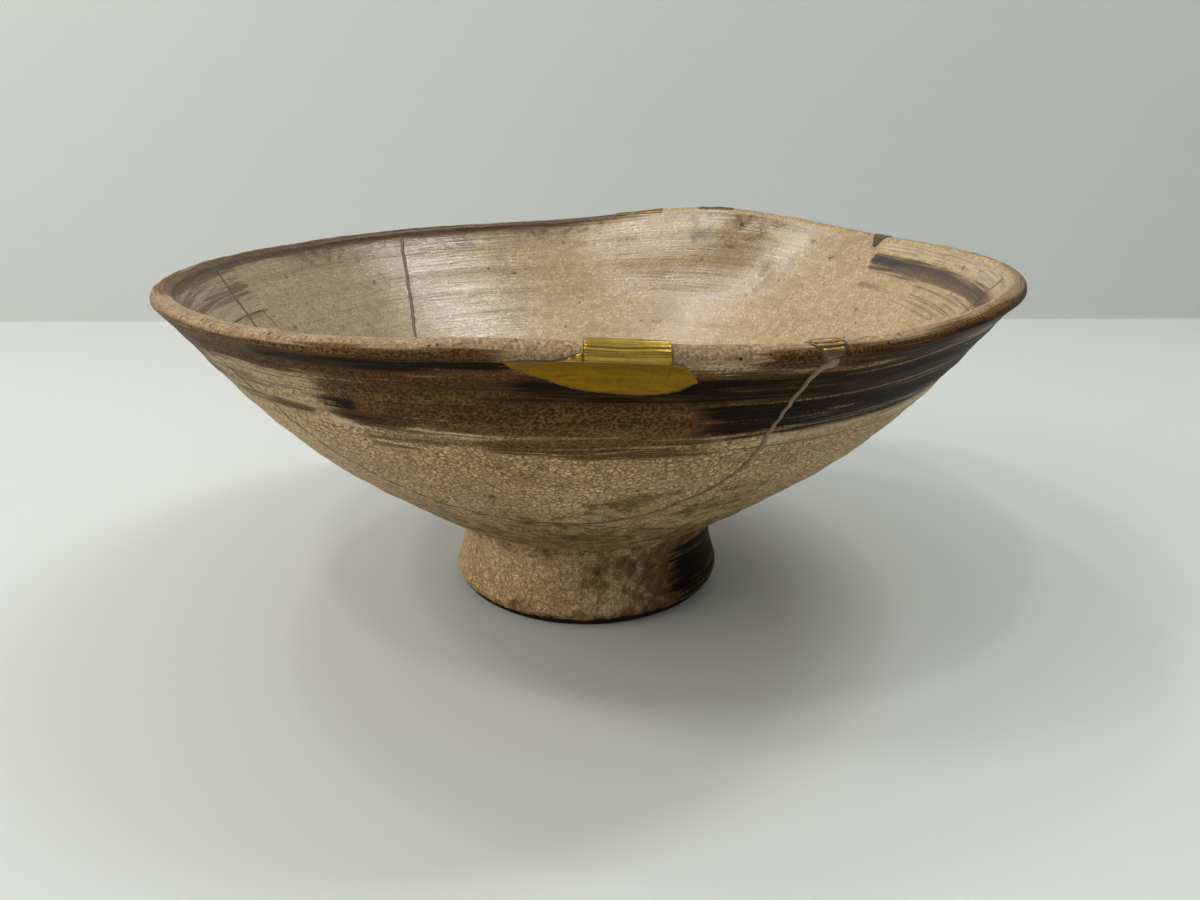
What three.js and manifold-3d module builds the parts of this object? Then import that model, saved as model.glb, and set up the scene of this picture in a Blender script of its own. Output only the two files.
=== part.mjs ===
// Mended tea bowl: one thrown, lopsided stoneware bowl on a flared foot, with a finger dent in its
// rim, filled rim chips and raised lacquer seams. Millimetres, +Z up. The origin is on the surface
// the bowl stands on, in the middle of its outline. Azimuths are in degrees, from the front of the
// bowl (-Y) towards its right (+X), and heights are those of the round bowl before it sagged.
import * as THREE from 'three';
import * as BufferGeometryUtils from 'three/addons/utils/BufferGeometryUtils.js';
import Module from 'manifold-3d';

// Driving dimensions

const LATHE_STEPS = 72;
const GAP = 0.3;                       // clearance between a fill or seam and the clay round it

const FOOT_TOP = 15.5;                 // height of the crease between foot and bowl
const LIP = { radius: 73.5, height: 61.8, halfWidth: 1.65, halfHeight: 1.25, start: -25, end: 180 };

// The foot's outside, from its standing ring up: bevel, flared edge, waist, crease.
const FOOT_OUTSIDE = [[24.2, 0], [25.5, 0.2], [26.6, 1.7], [26.9, 3.1], [26.2, 5.4], [25.4, 8.8],
                      [25.5, 12.4], [26.4, FOOT_TOP]];
// The cut-away under the foot, from the middle out to the standing ring.
const FOOT_HOLLOW = [[0, 6.2], [10, 6.7], [17.5, 6.5], [20.1, 5.2], [21, 2.6], [21.6, 0]];
const WALL_OUTSIDE = [[26.4, FOOT_TOP], [31, 18.2], [40.4, 25], [51.9, 34], [60.8, 43], [67.9, 52],
                      [72.2, 58], [73.95, 60.05]];
const WALL_INSIDE = [[71.7, 61.4], [70.9, 60], [67.9, 56], [62.1, 49], [54.9, 41.2], [45.4, 33],
                     [34.1, 25], [23.5, 18.6], [13, 15], [0, 14]];

// Where the soft bowl sagged and was pushed after throwing. A raise lifts the rim round an azimuth
// and fades over a spread before and after it.
const RIM_LIFT = 0.5;
const TILT = { towards: 150, height: 1.1 };
const RAISES = [
  { at: 152, height: 5.0, spreadBefore: 16, spreadAfter: 18 },
  { at: 203, height: 0.9, spreadBefore: 22, spreadAfter: 22 },
  { at: 27, height: -0.9, spreadBefore: 14, spreadAfter: 12 },
  { at: -7, height: 1.0, spreadBefore: 9, spreadAfter: 13 },
  { at: 88, height: 0.5, spreadBefore: 30, spreadAfter: 25 },
];
const DENT = { at: 151, depth: 6, spreadBefore: 9, spreadAfter: 13, from: 46, to: 61 };
const FOOT_LEAN = -0.9;                // the foot stands a little left of the middle of the rim
const OUTLINE_SHIFT = 0.19;            // half of what the dent takes off the outline's back

// Rim chips, filled flush. A spall is a shallow scoop in the outside, a notch goes through the lip.
const CHIP_TOP = 67;
const NOTCH_DEPTH = 9;
const CHIPS = {
  gold_rim_fill: {
    spall: { azimuth: 0.8, height: 58.9, slope: 50, half: [11, 3.6, 2.4] },
    notch: { azimuth: 3.2, top: 10.3, bottom: 10.3, height: 59.9 },
  },
  gold_corner_fill: { notch: { azimuth: 21.4, top: 4.4, bottom: 1.2, height: 60 } },
  side_rim_fill: { notch: { azimuth: 116.5, top: 3.8, bottom: 1.4, height: 59.6 } },
  dark_rim_fill: { notch: { azimuth: 151.4, top: 10.5, bottom: 9, height: 61.9 } },
  back_rim_fill: { notch: { azimuth: 169, top: 12, bottom: 11, height: 61.7 } },
};
const GILDED = ['gold_rim_fill', 'gold_corner_fill', 'back_rim_fill'];

// Raised seams: points as [azimuth, height], the bead's radius and how deep its middle lies.
const SEAMS = {
  front_seam: {
    side: 'outside', radius: 0.75, depth: 0.35,
    route: [[21.2, 58.6], [20.5, 55], [20.2, 50.5], [20.4, 45.5], [19.9, 41.8], [18, 38.6],
            [15, 36], [12, 33.9], [8, 31.9], [4, 30.9], [0, 30.2], [-5, 29.9]],
  },
  back_inner_seam: {
    side: 'inside', radius: 0.7, depth: 0.3,
    route: [[220.8, 60.2], [221.8, 56.5], [223.2, 51.5], [225.1, 46.5], [227.8, 41.5], [230, 35],
            [233, 29]],
  },
  left_inner_seam: {
    side: 'inside', radius: 0.6, depth: 0.3,
    route: [[268, 59.6], [268.8, 56.6], [270, 53], [271.5, 49.5], [275, 43], [283, 36],
            [296, 29]],
  },
};

const wasm = await Module();
wasm.setup();

const toRadians = THREE.MathUtils.degToRad;
const smooth = THREE.MathUtils.smoothstep;

// Curves

function hump(azimuth, { at, spreadBefore, spreadAfter }) {
  const turn = THREE.MathUtils.euclideanModulo(azimuth - at + 180, 360) - 180;
  const spread = turn < 0 ? spreadBefore : spreadAfter;
  return Math.exp(-0.5 * (turn / spread) ** 2);
}

function curveThrough(points, steps) {
  return new THREE.SplineCurve(points.map(([r, z]) => new THREE.Vector2(r, z))).getSpacedPoints(steps);
}

// The rolled lip, from under its outer edge over the top to the inside.
function lipCurve(steps) {
  const points = [];
  for (let i = 0; i <= steps; i++) {
    const angle = toRadians(THREE.MathUtils.lerp(LIP.start, LIP.end, i / steps));
    points.push(new THREE.Vector2(LIP.radius + LIP.halfWidth * Math.cos(angle),
                                  LIP.height + LIP.halfHeight * Math.sin(angle)));
  }
  return points;
}

// Moves a point of the round bowl to where it sits on the sagged one.
function warp(point) {
  const azimuth = THREE.MathUtils.radToDeg(Math.atan2(point.x, -point.y));
  const radius = Math.hypot(point.x, point.y);
  const up = smooth(point.z, FOOT_TOP - 8, LIP.height);
  const nearRim = smooth(point.z, DENT.from, DENT.to);
  let lift = up * (RIM_LIFT + TILT.height * Math.cos(toRadians(azimuth - TILT.towards)));
  for (const raise of RAISES) {
    lift += raise.height * nearRim * hump(azimuth, raise);
  }
  const push = DENT.depth * nearRim * hump(azimuth, DENT);
  const scale = radius > 0 ? (radius - push) / radius : 1;
  const lean = FOOT_LEAN * (1 - smooth(point.z, FOOT_TOP, LIP.height));
  return point.set(point.x * scale + lean, point.y * scale + OUTLINE_SHIFT,
                   point.z + lift * smooth(radius, 20, 50));
}

function warpGeometry(geometry) {
  const places = geometry.getAttribute('position');
  const point = new THREE.Vector3();
  for (let i = 0; i < places.count; i++) {
    warp(point.fromBufferAttribute(places, i));
    places.setXYZ(i, point.x, point.y, point.z);
  }
  return geometry;
}

// Solids

function toSolid(geometry) {
  const bare = geometry.index ? geometry.toNonIndexed() : geometry.clone();
  bare.deleteAttribute('normal');
  bare.deleteAttribute('uv');
  const merged = BufferGeometryUtils.mergeVertices(bare, 1e-4);
  const triangles = [];
  for (let i = 0; i < merged.index.count; i += 3) {
    const [a, b, c] = [merged.index.getX(i), merged.index.getX(i + 1), merged.index.getX(i + 2)];
    if (a !== b && b !== c && c !== a) {
      triangles.push(a, b, c);
    }
  }
  return new wasm.Manifold(new wasm.Mesh({
    numProp: 3,
    vertProperties: new Float32Array(merged.getAttribute('position').array),
    triVerts: new Uint32Array(triangles),
  }));
}

function toGeometry(solid) {
  const mesh = solid.getMesh();
  const geometry = new THREE.BufferGeometry();
  geometry.setAttribute('position', new THREE.BufferAttribute(mesh.vertProperties, 3));
  geometry.setIndex(new THREE.BufferAttribute(mesh.triVerts, 1));
  geometry.computeVertexNormals();
  return geometry;
}

function bowlSolid() {
  const foot = [...FOOT_HOLLOW, ...FOOT_OUTSIDE].map(([r, z]) => new THREE.Vector2(r, z));
  const outline = [
    ...foot,
    ...curveThrough(WALL_OUTSIDE, 12).slice(1),
    ...lipCurve(7),
    ...curveThrough(WALL_INSIDE, 13).slice(1),
  ];
  const lathe = new THREE.LatheGeometry(outline, LATHE_STEPS);
  lathe.rotateX(Math.PI / 2);
  return toSolid(warpGeometry(lathe));
}

// The place on the sagged bowl at an azimuth and height, a depth under the wall's surface.
function onWall(side, azimuth, height, depth) {
  const outside = side === 'outside';
  const points = curveThrough(outside ? WALL_OUTSIDE : [...WALL_INSIDE].reverse(), 60);
  const above = Math.max(1, points.findIndex((point) => point.y >= height));
  const [low, high] = [points[above - 1], points[above]];
  const along = high.clone().sub(low).normalize();
  const into = new THREE.Vector2(-along.y, along.x).multiplyScalar(outside ? depth : -depth);
  const spot = low.clone().lerp(high, (height - low.y) / (high.y - low.y)).add(into);
  const angle = toRadians(azimuth);
  return warp(new THREE.Vector3(spot.x * Math.sin(angle), -spot.x * Math.cos(angle), spot.y));
}

function beadSolid({ side, route, radius, depth }, growth) {
  const points = route.map(([azimuth, height]) => onWall(side, azimuth, height, depth));
  if (growth > 0) {
    const start = points[0].clone().sub(points[1]).setLength(growth);
    const end = points.at(-1).clone().sub(points.at(-2)).setLength(growth);
    points[0].add(start);
    points.at(-1).add(end);
  }
  const round = new THREE.Shape().absarc(0, 0, radius + growth, 0, 2 * Math.PI);
  return toSolid(new THREE.ExtrudeGeometry(round, {
    curveSegments: 3, steps: 18, extrudePath: new THREE.CatmullRomCurve3(points),
    bevelEnabled: false,
  }));
}

function spallSolid({ azimuth, height, slope, half }, growth) {
  const [wide, high, deep] = half.map((size) => size + growth);
  const scoop = new THREE.SphereGeometry(1, 20, 8);
  scoop.scale(wide, deep, high);
  scoop.rotateX(-toRadians(90 - slope));
  scoop.translate(0, 1 - LIP.radius, height);
  scoop.rotateZ(toRadians(azimuth));
  return toSolid(warpGeometry(scoop));
}

// A notch right through the lip, as wide at the top and at its bottom as it says.
function notchSolid({ azimuth, top, bottom, height }, growth) {
  const low = height - growth;
  const block = new THREE.BoxGeometry(1, NOTCH_DEPTH, CHIP_TOP - low, 4, 1, 3);
  block.translate(0, -LIP.radius, (CHIP_TOP + low) / 2);
  const places = block.getAttribute('position');
  for (let i = 0; i < places.count; i++) {
    const share = Math.min(1, (places.getZ(i) - low) / (LIP.height + LIP.halfHeight - low));
    const width = bottom + (top - bottom) * share + 2 * growth;
    places.setX(i, places.getX(i) * width);
  }
  block.rotateZ(toRadians(azimuth));
  return toSolid(warpGeometry(block));
}

function chipSolid({ spall, notch }, growth) {
  const cut = notchSolid(notch, growth);
  return spall ? cut.add(spallSolid(spall, growth)) : cut;
}

// The object

const GLAZE = new THREE.MeshStandardMaterial({ color: 0xb39a76, roughness: 0.4 });
const GOLD = new THREE.MeshStandardMaterial({ color: 0xc9952e, roughness: 0.35, metalness: 1 });
const LACQUER = new THREE.MeshStandardMaterial({ color: 0x8a6a45, roughness: 0.35 });

const bowl = new THREE.Group();

function addPiece(name, solid, material) {
  const piece = new THREE.Mesh(toGeometry(solid), material);
  piece.name = name;
  bowl.add(piece);
}

const whole = bowlSolid();
let clay = whole;
for (const [name, chip] of Object.entries(CHIPS)) {
  addPiece(name, whole.intersect(chipSolid(chip, 0)), GILDED.includes(name) ? GOLD : LACQUER);
  clay = clay.subtract(chipSolid(chip, GAP));
}
for (const [name, seam] of Object.entries(SEAMS)) {
  addPiece(name, beadSolid(seam, 0), LACQUER);
  clay = clay.subtract(beadSolid(seam, GAP));
}
addPiece('bowl', clay, GLAZE);

export default bowl;
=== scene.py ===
"""Looks of the mended tea bowl: clay, glaze, brushwork, gilded fills and lacquer seams.

The bowl is spun in finely from the same outline as the solid, sagged and dented in the same way,
and given throwing rings, lumps and pits. Its brushwork and stains are painted on as attributes and
as fine strokes in the glaze. Some light is painted in as well: shade over the foot's right side, on
the dent's right flank and on the inner left, a sheen under the outer lip on the right, and a lighter
crown with darker edges on the lacquer. Sizes are in millimetres and azimuths in degrees, from the
front of the bowl (-Y) towards its right (+X). Heights are those of the round bowl before it sagged.
"""
import logging
import math
from dataclasses import dataclass, field
from enum import Enum

import bmesh
import bpy
import numpy as np
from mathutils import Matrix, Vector, noise


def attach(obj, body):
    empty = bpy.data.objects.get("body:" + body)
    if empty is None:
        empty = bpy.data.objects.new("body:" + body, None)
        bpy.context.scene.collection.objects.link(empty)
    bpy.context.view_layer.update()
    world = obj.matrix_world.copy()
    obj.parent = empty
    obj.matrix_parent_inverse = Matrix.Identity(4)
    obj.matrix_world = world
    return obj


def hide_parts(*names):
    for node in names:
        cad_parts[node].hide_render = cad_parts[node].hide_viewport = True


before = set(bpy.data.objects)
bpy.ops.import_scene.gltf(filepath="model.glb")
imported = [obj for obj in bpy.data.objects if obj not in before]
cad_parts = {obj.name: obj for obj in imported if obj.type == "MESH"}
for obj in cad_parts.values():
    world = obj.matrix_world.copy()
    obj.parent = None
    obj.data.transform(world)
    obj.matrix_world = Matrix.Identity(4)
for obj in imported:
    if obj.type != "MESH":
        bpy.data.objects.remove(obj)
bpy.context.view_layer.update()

LOG = logging.getLogger("tea_bowl")
MM = 0.001
BODY = "root"

Points = list[tuple[float, float]]
Socket = bpy.types.NodeSocket


# ---------------------------------------------------------------------------------------- the form


class Side(Enum):
    """The two faces of the wall."""

    OUTSIDE = "outside"
    INSIDE = "inside"


def smooth(value: np.ndarray, low: float, high: float) -> np.ndarray:
    """Gives 0 below low, 1 above high and an S-curve between them."""
    share = np.clip((value - low) / (high - low), 0.0, 1.0)
    return share * share * (3.0 - 2.0 * share)


def turn_from(azimuth: np.ndarray, centre: float) -> np.ndarray:
    """Gives the signed turn from a centre to each azimuth, from -180 to 180 degrees."""
    return (azimuth - centre + 180.0) % 360.0 - 180.0


def catmull_rom(points: Points, step: float) -> np.ndarray:
    """Runs a smooth curve through points.

    Args:
        points: The points that it passes through.
        step: The spacing of the result, in millimetres.

    Returns:
        An array of evenly spaced points, first and last included.
    """
    knots = np.array([points[0], *points, points[-1]], float)
    share = np.linspace(0.0, 1.0, 24, endpoint=False)[:, None]
    runs = []
    for a, b, c, d in zip(knots, knots[1:], knots[2:], knots[3:]):
        runs.append(0.5 * (2 * b + (c - a) * share + (2 * a - 5 * b + 4 * c - d) * share**2
                           + (3 * b - a - 3 * c + d) * share**3))
    dense = np.vstack([*runs, knots[-1:]])
    lengths = np.concatenate([[0.0], np.cumsum(np.hypot(*np.diff(dense, axis=0).T))])
    count = max(2, round(lengths[-1] / step) + 1)
    at = np.linspace(0.0, lengths[-1], count)
    return np.column_stack([np.interp(at, lengths, dense[:, 0]), np.interp(at, lengths, dense[:, 1])])


@dataclass(frozen=True)
class Hump:
    """A bell-shaped change round one azimuth, with its own spread before and after it."""

    at: float
    height: float
    before: float
    after: float

    def amount(self, azimuth: np.ndarray) -> np.ndarray:
        """Gives the change at each azimuth.

        Args:
            azimuth: The azimuths.

        Returns:
            The change at each, in millimetres.
        """
        turn = turn_from(azimuth, self.at)
        spread = np.where(turn < 0.0, self.before, self.after)
        return self.height * np.exp(-0.5 * (turn / spread) ** 2)


@dataclass
class ThrownForm:
    """The bowl's outline as it was thrown, and how it sagged, was dented and was mended."""

    foot_top: float = 15.5
    lip_radius: float = 73.5
    lip_height: float = 61.8
    lip_half_width: float = 1.65
    lip_half_height: float = 1.25
    foot_hollow: Points = field(default_factory=lambda: [
        (0, 6.2), (10, 6.7), (17.5, 6.5), (20.1, 5.2), (21, 2.6), (21.6, 0)])
    standing_ring: Points = field(default_factory=lambda: [(21.6, 0), (24.2, 0)])
    foot_outside: Points = field(default_factory=lambda: [
        (24.2, 0), (25.5, 0.2), (26.6, 1.7), (26.9, 3.1), (26.2, 5.4), (25.4, 8.8), (25.5, 12.4),
        (26.4, 15.5)])
    wall_outside: Points = field(default_factory=lambda: [
        (26.4, 15.5), (31, 18.2), (40.4, 25), (51.9, 34), (60.8, 43), (67.9, 52), (72.2, 58),
        (73.95, 60.05)])
    wall_inside: Points = field(default_factory=lambda: [
        (71.7, 61.4), (70.9, 60), (67.9, 56), (62.1, 49), (54.9, 41.2), (45.4, 33), (34.1, 25),
        (23.5, 18.6), (13, 15), (0, 14)])
    rim_lift: float = 0.5
    tilt_towards: float = 150.0
    tilt_height: float = 1.1
    raises: tuple[Hump, ...] = (Hump(152, 5.0, 16, 18), Hump(203, 0.9, 22, 22), Hump(27, -0.9, 14, 12),
                                Hump(-7, 1.0, 9, 13), Hump(88, 0.5, 30, 25))
    dent: Hump = Hump(151, 6.0, 9, 13)
    dent_from: float = 46.0
    dent_to: float = 61.0
    foot_lean: float = -0.9
    outline_shift: float = 0.19
    lip_from: float = -25.0
    lip_steps: int = 18
    hollow_step: float = 1.3
    ring_step: float = 0.9
    foot_step: float = 0.7
    wall_step: float = 0.86
    ring_gap: float = 6.3
    ring_height: float = 0.07
    fine_ring_gap: float = 2.9
    fine_ring_height: float = 0.04
    groove_depth: float = 0.10
    lump_height: float = 0.15
    fine_height: float = 0.045
    fine_lip_height: float = 0.06

    def __post_init__(self) -> None:
        """Joins the stretches of the outline and measures along it."""
        angles = np.radians(np.linspace(self.lip_from, 180.0, self.lip_steps))
        lip = np.column_stack([self.lip_radius + self.lip_half_width * np.cos(angles),
                               self.lip_height + self.lip_half_height * np.sin(angles)])
        stretches = [catmull_rom(self.foot_hollow, self.hollow_step),
                     catmull_rom(self.standing_ring, self.ring_step),
                     catmull_rom(self.foot_outside, self.foot_step),
                     catmull_rom(self.wall_outside, self.wall_step), lip,
                     catmull_rom(self.wall_inside, self.wall_step)]
        joined = np.vstack([stretches[0], *(stretch[1:] for stretch in stretches[1:])])
        self.radii, self.heights = joined[:, 0], joined[:, 1]
        self.alongs = np.concatenate([[0.0], np.cumsum(np.hypot(np.diff(self.radii),
                                                                np.diff(self.heights)))])
        ends = np.cumsum([len(stretches[0])] + [len(stretch) - 1 for stretch in stretches[1:]]) - 1
        self.ring_outer, self.foot_end, self.lip_start, self.lip_end = self.alongs[ends[1:5]]
        self.crest = self.alongs[np.argmax(self.heights)]
        slope_r = np.gradient(self.radii, self.alongs)
        slope_z = np.gradient(self.heights, self.alongs)
        length = np.hypot(slope_r, slope_z)
        self.normals_r, self.normals_z = slope_z / length, -slope_r / length

    def along_at(self, side: Side, height: float) -> float:
        """Gives the distance along the outline to a height on one face of the wall.

        Args:
            side: The face.
            height: The height, before the bowl sagged.

        Returns:
            The distance along the outline.
        """
        above_foot = self.alongs >= self.ring_outer
        outer = above_foot & (self.alongs <= self.crest)
        mask = outer if side is Side.OUTSIDE else self.alongs >= self.crest
        order = np.argsort(self.heights[mask])
        return float(np.interp(height, self.heights[mask][order], self.alongs[mask][order]))

    def warp(self, x: np.ndarray, y: np.ndarray, z: np.ndarray) -> np.ndarray:
        """Moves points of the round bowl to where they sit on the sagged one.

        Args:
            x: Their places to the right.
            y: Their places to the back.
            z: Their heights.

        Returns:
            An array of the moved points, in millimetres.
        """
        azimuth = np.degrees(np.arctan2(x, -y))
        radius = np.hypot(x, y)
        up = smooth(z, self.foot_top - 8.0, self.lip_height)
        near_rim = smooth(z, self.dent_from, self.dent_to)
        lift = up * (self.rim_lift + self.tilt_height * np.cos(np.radians(azimuth - self.tilt_towards)))
        lift = lift + near_rim * sum(raised.amount(azimuth) for raised in self.raises)
        push = near_rim * self.dent.amount(azimuth)
        scale = (radius - push) / np.maximum(radius, 1e-6)
        lean = self.foot_lean * (1.0 - smooth(z, self.foot_top, self.lip_height))
        return np.column_stack([x * scale + lean, y * scale + self.outline_shift,
                                z + lift * smooth(radius, 20.0, 50.0)])

    def relief(self, azimuth: np.ndarray, along: np.ndarray) -> np.ndarray:
        """Gives how far the real surface stands off the smooth one: rings, lumps, waves and pits.

        Args:
            azimuth: Azimuths of the places.
            along: Their distances along the outline.

        Returns:
            The stand-off at each place, outwards, in millimetres.
        """
        turn = np.radians(azimuth)
        wall = smooth(along, self.foot_end - 2.0, self.foot_end + 8.0)
        inside = smooth(along, self.crest, self.lip_end + 2.0)
        drift = 0.9 * np.sin(turn + 0.7) + 0.5 * np.sin(3.0 * turn + along / 17.0)
        rings = self.ring_height * np.sin(along * 2.0 * math.pi / self.ring_gap + drift)
        fine_turn = along * 2.0 * math.pi / self.fine_ring_gap
        rings += self.fine_ring_height * np.sin(fine_turn + 1.7 * drift)
        groove = -self.groove_depth * np.exp(-0.5 * ((along - self.lip_start + 0.6) / 0.7) ** 2)
        radius = np.interp(along, self.alongs, self.radii)
        places = np.column_stack([radius * np.sin(turn), -radius * np.cos(turn), along])
        lumps = np.array([noise.fractal(Vector(place) * 0.045, 0.8, 2.1, 3) for place in places])
        fine = np.array([noise.noise(Vector((p[0] * 0.30, p[1] * 0.30, p[2] * 0.75))) for p in places])
        near_lip = np.exp(-0.5 * ((along - self.crest) / 4.0) ** 2)
        amount = wall * rings * (1.0 - 0.3 * inside) + groove
        amount += self.lump_height * lumps * smooth(along, 24.0, 30.0)
        amount += fine * (self.fine_height + self.fine_lip_height * near_lip)
        for pit in PITS:
            amount += pit.dip(azimuth, along, radius, self)
        return amount

    def place(self, azimuth: np.ndarray, along: np.ndarray, lift: np.ndarray | float) -> np.ndarray:
        """Finds points on or off the finished surface.

        Args:
            azimuth: Azimuths of the points.
            along: Their distances along the outline.
            lift: How far they stand off the surface, outwards.

        Returns:
            An array of points in metres, in the row frame.
        """
        radius = np.interp(along, self.alongs, self.radii)
        height = np.interp(along, self.alongs, self.heights)
        off = self.relief(azimuth, along) + lift
        radius = radius + off * np.interp(along, self.alongs, self.normals_r)
        height = np.maximum(height + off * np.interp(along, self.alongs, self.normals_z), 0.0)
        turn = np.radians(azimuth)
        return self.warp(radius * np.sin(turn), -radius * np.cos(turn), height) * MM


@dataclass(frozen=True)
class Pit:
    """A pit in the surface, or with a negative depth a bump, with a ring if it is a blister."""

    side: Side
    azimuth: float
    height: float
    size: float
    depth: float
    blister: bool = False

    def dip(self, azimuth: np.ndarray, along: np.ndarray, radius: np.ndarray,
            form: ThrownForm) -> np.ndarray:
        """Gives the stand-off that this pit adds at each place.

        Args:
            azimuth: Azimuths of the places.
            along: Their distances along the outline.
            radius: Their radii.
            form: The bowl's form.

        Returns:
            The stand-off at each place, outwards.
        """
        sideways = np.radians(turn_from(azimuth, self.azimuth)) * radius
        upwards = along - form.along_at(self.side, self.height)
        distance = np.hypot(sideways, upwards) / self.size
        if self.blister:
            return self.depth * (np.exp(-((distance - 1.0) / 0.35) ** 2) - 0.6 * np.exp(-distance**2 * 6.0))
        return -self.depth * np.exp(-distance**2)


PITS = (
    Pit(Side.INSIDE, 128.0, 43.0, 1.7, 0.35, blister=True),
    Pit(Side.INSIDE, 144.8, 59.6, 1.2, 0.35),
    Pit(Side.INSIDE, 139.2, 49.6, 0.9, 0.4),
    Pit(Side.INSIDE, 137.4, 51.8, 0.9, 0.4),
    Pit(Side.INSIDE, 136.4, 53.3, 0.9, 0.35),
    Pit(Side.INSIDE, 130.0, 59.3, 0.8, 0.3),
    Pit(Side.INSIDE, 124.6, 57.0, 0.9, 0.3),
    Pit(Side.OUTSIDE, -14.3, 37.3, 0.9, 0.3),
    Pit(Side.OUTSIDE, -3.5, 40.6, 1.2, 0.2),
)


# -------------------------------------------------------------------------------------- brushwork, stains, painted shade and painted sheen


@dataclass(frozen=True)
class Stroke:
    """One band round the wall, used for passes of the brush, stains, painted shade and painted sheen.

    Attributes:
        side: The face that it is on.
        start: The azimuth where it starts.
        end: The azimuth where it ends, going towards the right.
        height: The height of its middle.
        half: Half its width, in millimetres of height.
        strength: How much it covers, from 0 to 1.
        soft: How far its ends fade, in degrees.
        slant: How much higher it ends than it starts.
    """

    side: Side
    start: float
    end: float
    height: float
    half: float
    strength: float
    soft: float = 4.0
    slant: float = 0.0

    @property
    def middle(self) -> float:
        """The azimuth halfway along it."""
        return (self.start + self.end) / 2.0

    @property
    def half_turn(self) -> float:
        """Half its length, in degrees."""
        return (self.end - self.start) / 2.0

    def cover(self, azimuth: np.ndarray, height: np.ndarray) -> np.ndarray:
        """Gives how much of it lies on each place of its face.

        Args:
            azimuth: Azimuths of the places.
            height: Their heights, before the bowl sagged.

        Returns:
            The cover at each place, from 0 to 1.
        """
        turn = turn_from(azimuth, self.middle)
        across = smooth(self.half_turn - np.abs(turn), -self.soft / 2.0, self.soft / 2.0)
        off = (height - self.height - self.slant * turn / (2.0 * self.half_turn)) / self.half
        return self.strength * across * np.exp(-np.abs(off) ** 3)


def strokes(side: Side, *rows: tuple[float, ...]) -> tuple[Stroke, ...]:
    """Makes strokes on one face from rows of their values, in the order of Stroke."""
    return tuple(Stroke(side, *row) for row in rows)


IRON_WASH = strokes(
    Side.OUTSIDE,
    (-28, 66, 55.0, 6.5, 0.84, 7), (-58, -18, 59.5, 1.5, 0.72, 8), (-54, -24, 54.4, 4.6, 0.40, 8),
    (-62, -8, 61.2, 1.3, 0.70, 5), (15, 62, 61.2, 1.5, 0.78, 3), (35, 125, 62.2, 1.1, 0.42, 10),
    (150, 300, 62.5, 1.0, 0.62, 14),
    (-29.5, -20, 51.4, 1.0, 0.75, 3), (-41, -33, 51.0, 0.7, 0.6, 4), (-12, 14, 47.9, 1.2, 0.55, 5, -0.6),
    (-3, 15, 46.1, 1.2, 0.45, 6, -1.0), (-28, -20, 46.4, 1.1, 0.45, 3), (-84, -52, 56.0, 4.8, 0.62, 10),
    (-80, -30, 58.6, 1.4, 0.7, 8),
    (-56, -44, 49.5, 2.0, 0.25, 8), (62, 96, 55.5, 5.6, 0.62, 14), (90, 285, 55.6, 6.2, 0.62, 14),
    (100, 170, 50.5, 2.2, 0.35, 16), (205, 262, 53.0, 2.0, 0.40, 14),
) + strokes(
    Side.INSIDE,
    (60, 114.8, 58.1, 1.5, 0.86, 1.2, 0.5), (64, 114.8, 56.4, 1.5, 0.30, 1.5),
    (86, 104, 51.6, 2.2, 0.20, 5), (262, 300, 58.6, 4.4, 0.50, 6), (262, 273, 51.5, 2.6, 0.30, 2),
    (182, 292, 61.5, 0.9, 0.75, 12), (170, 302, 62.5, 0.7, 0.80, 14),
)
# Dark iron brushwork, with one row of painted shade: the row at 7 mm from 36 to 125 degrees lies over the
# foot's right side, away from the light.
DARK_IRON_AND_FOOT_SHADE = strokes(
    Side.OUTSIDE,
    (12, 72, 51.9, 3.4, 0.92, 8), (9, 66, 57.2, 2.2, 0.66, 8), (23, 40, 60.3, 1.0, 0.62, 5),
    (-36, -7, 60.0, 0.9, 0.72, 4), (-28, 10, 57.4, 1.9, 0.30, 6), (-7, 13, 56.9, 1.1, 0.45, 4),
    (-30.5, -25.5, 53.1, 1.0, 0.75, 2), (-29, -22, 51.2, 0.9, 0.55, 3), (-10, 14, 55.2, 0.8, 0.40, 5),
    (96, 285, 56.5, 3.4, 0.34, 20), (36, 125, 7.0, 9.0, 0.85, 24), (24, 60, 61.3, 0.9, 0.6, 8),
) + strokes(
    Side.INSIDE,
    (74, 114.8, 58.6, 0.8, 0.58, 1.2, 0.4), (107.5, 114.8, 57.8, 1.3, 0.40, 1.5),
)
# Pale slip, and painted sheen: the rows from 23 to 80 and from 37 to 52 degrees just under the outer lip are
# partly pale slip and partly a painted sheen of the glaze.
PALE_SLIP_AND_SHEEN = strokes(
    Side.OUTSIDE,
    (-32, -9, 49.8, 0.8, 0.95, 4), (18, 80, 47.6, 0.9, 0.75, 6), (23, 80, 59.4, 0.8, 0.35, 8, 0.9),
    (37, 52, 59.5, 0.9, 0.85, 4, 0.3), (-42, -30, 60.0, 1.1, 0.6, 3), (-42, -29, 55.9, 1.6, 0.55, 5),
    (-40, -31, 52.9, 1.0, 0.5, 4), (-28.5, -22, 54.1, 0.7, 0.75, 2), (8.8, 17, 60.4, 1.2, 0.6, 2),
    (-70, 90, 38.0, 6.0, 0.14, 20), (110, 250, 42.0, 4.5, 0.3, 24), (150, 215, 58.4, 1.1, 0.5, 14),
) + strokes(
    Side.INSIDE,
    (60, 114, 61.2, 1.4, 0.5, 3), (118, 200, 57.0, 6.0, 0.12, 14),
)
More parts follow.
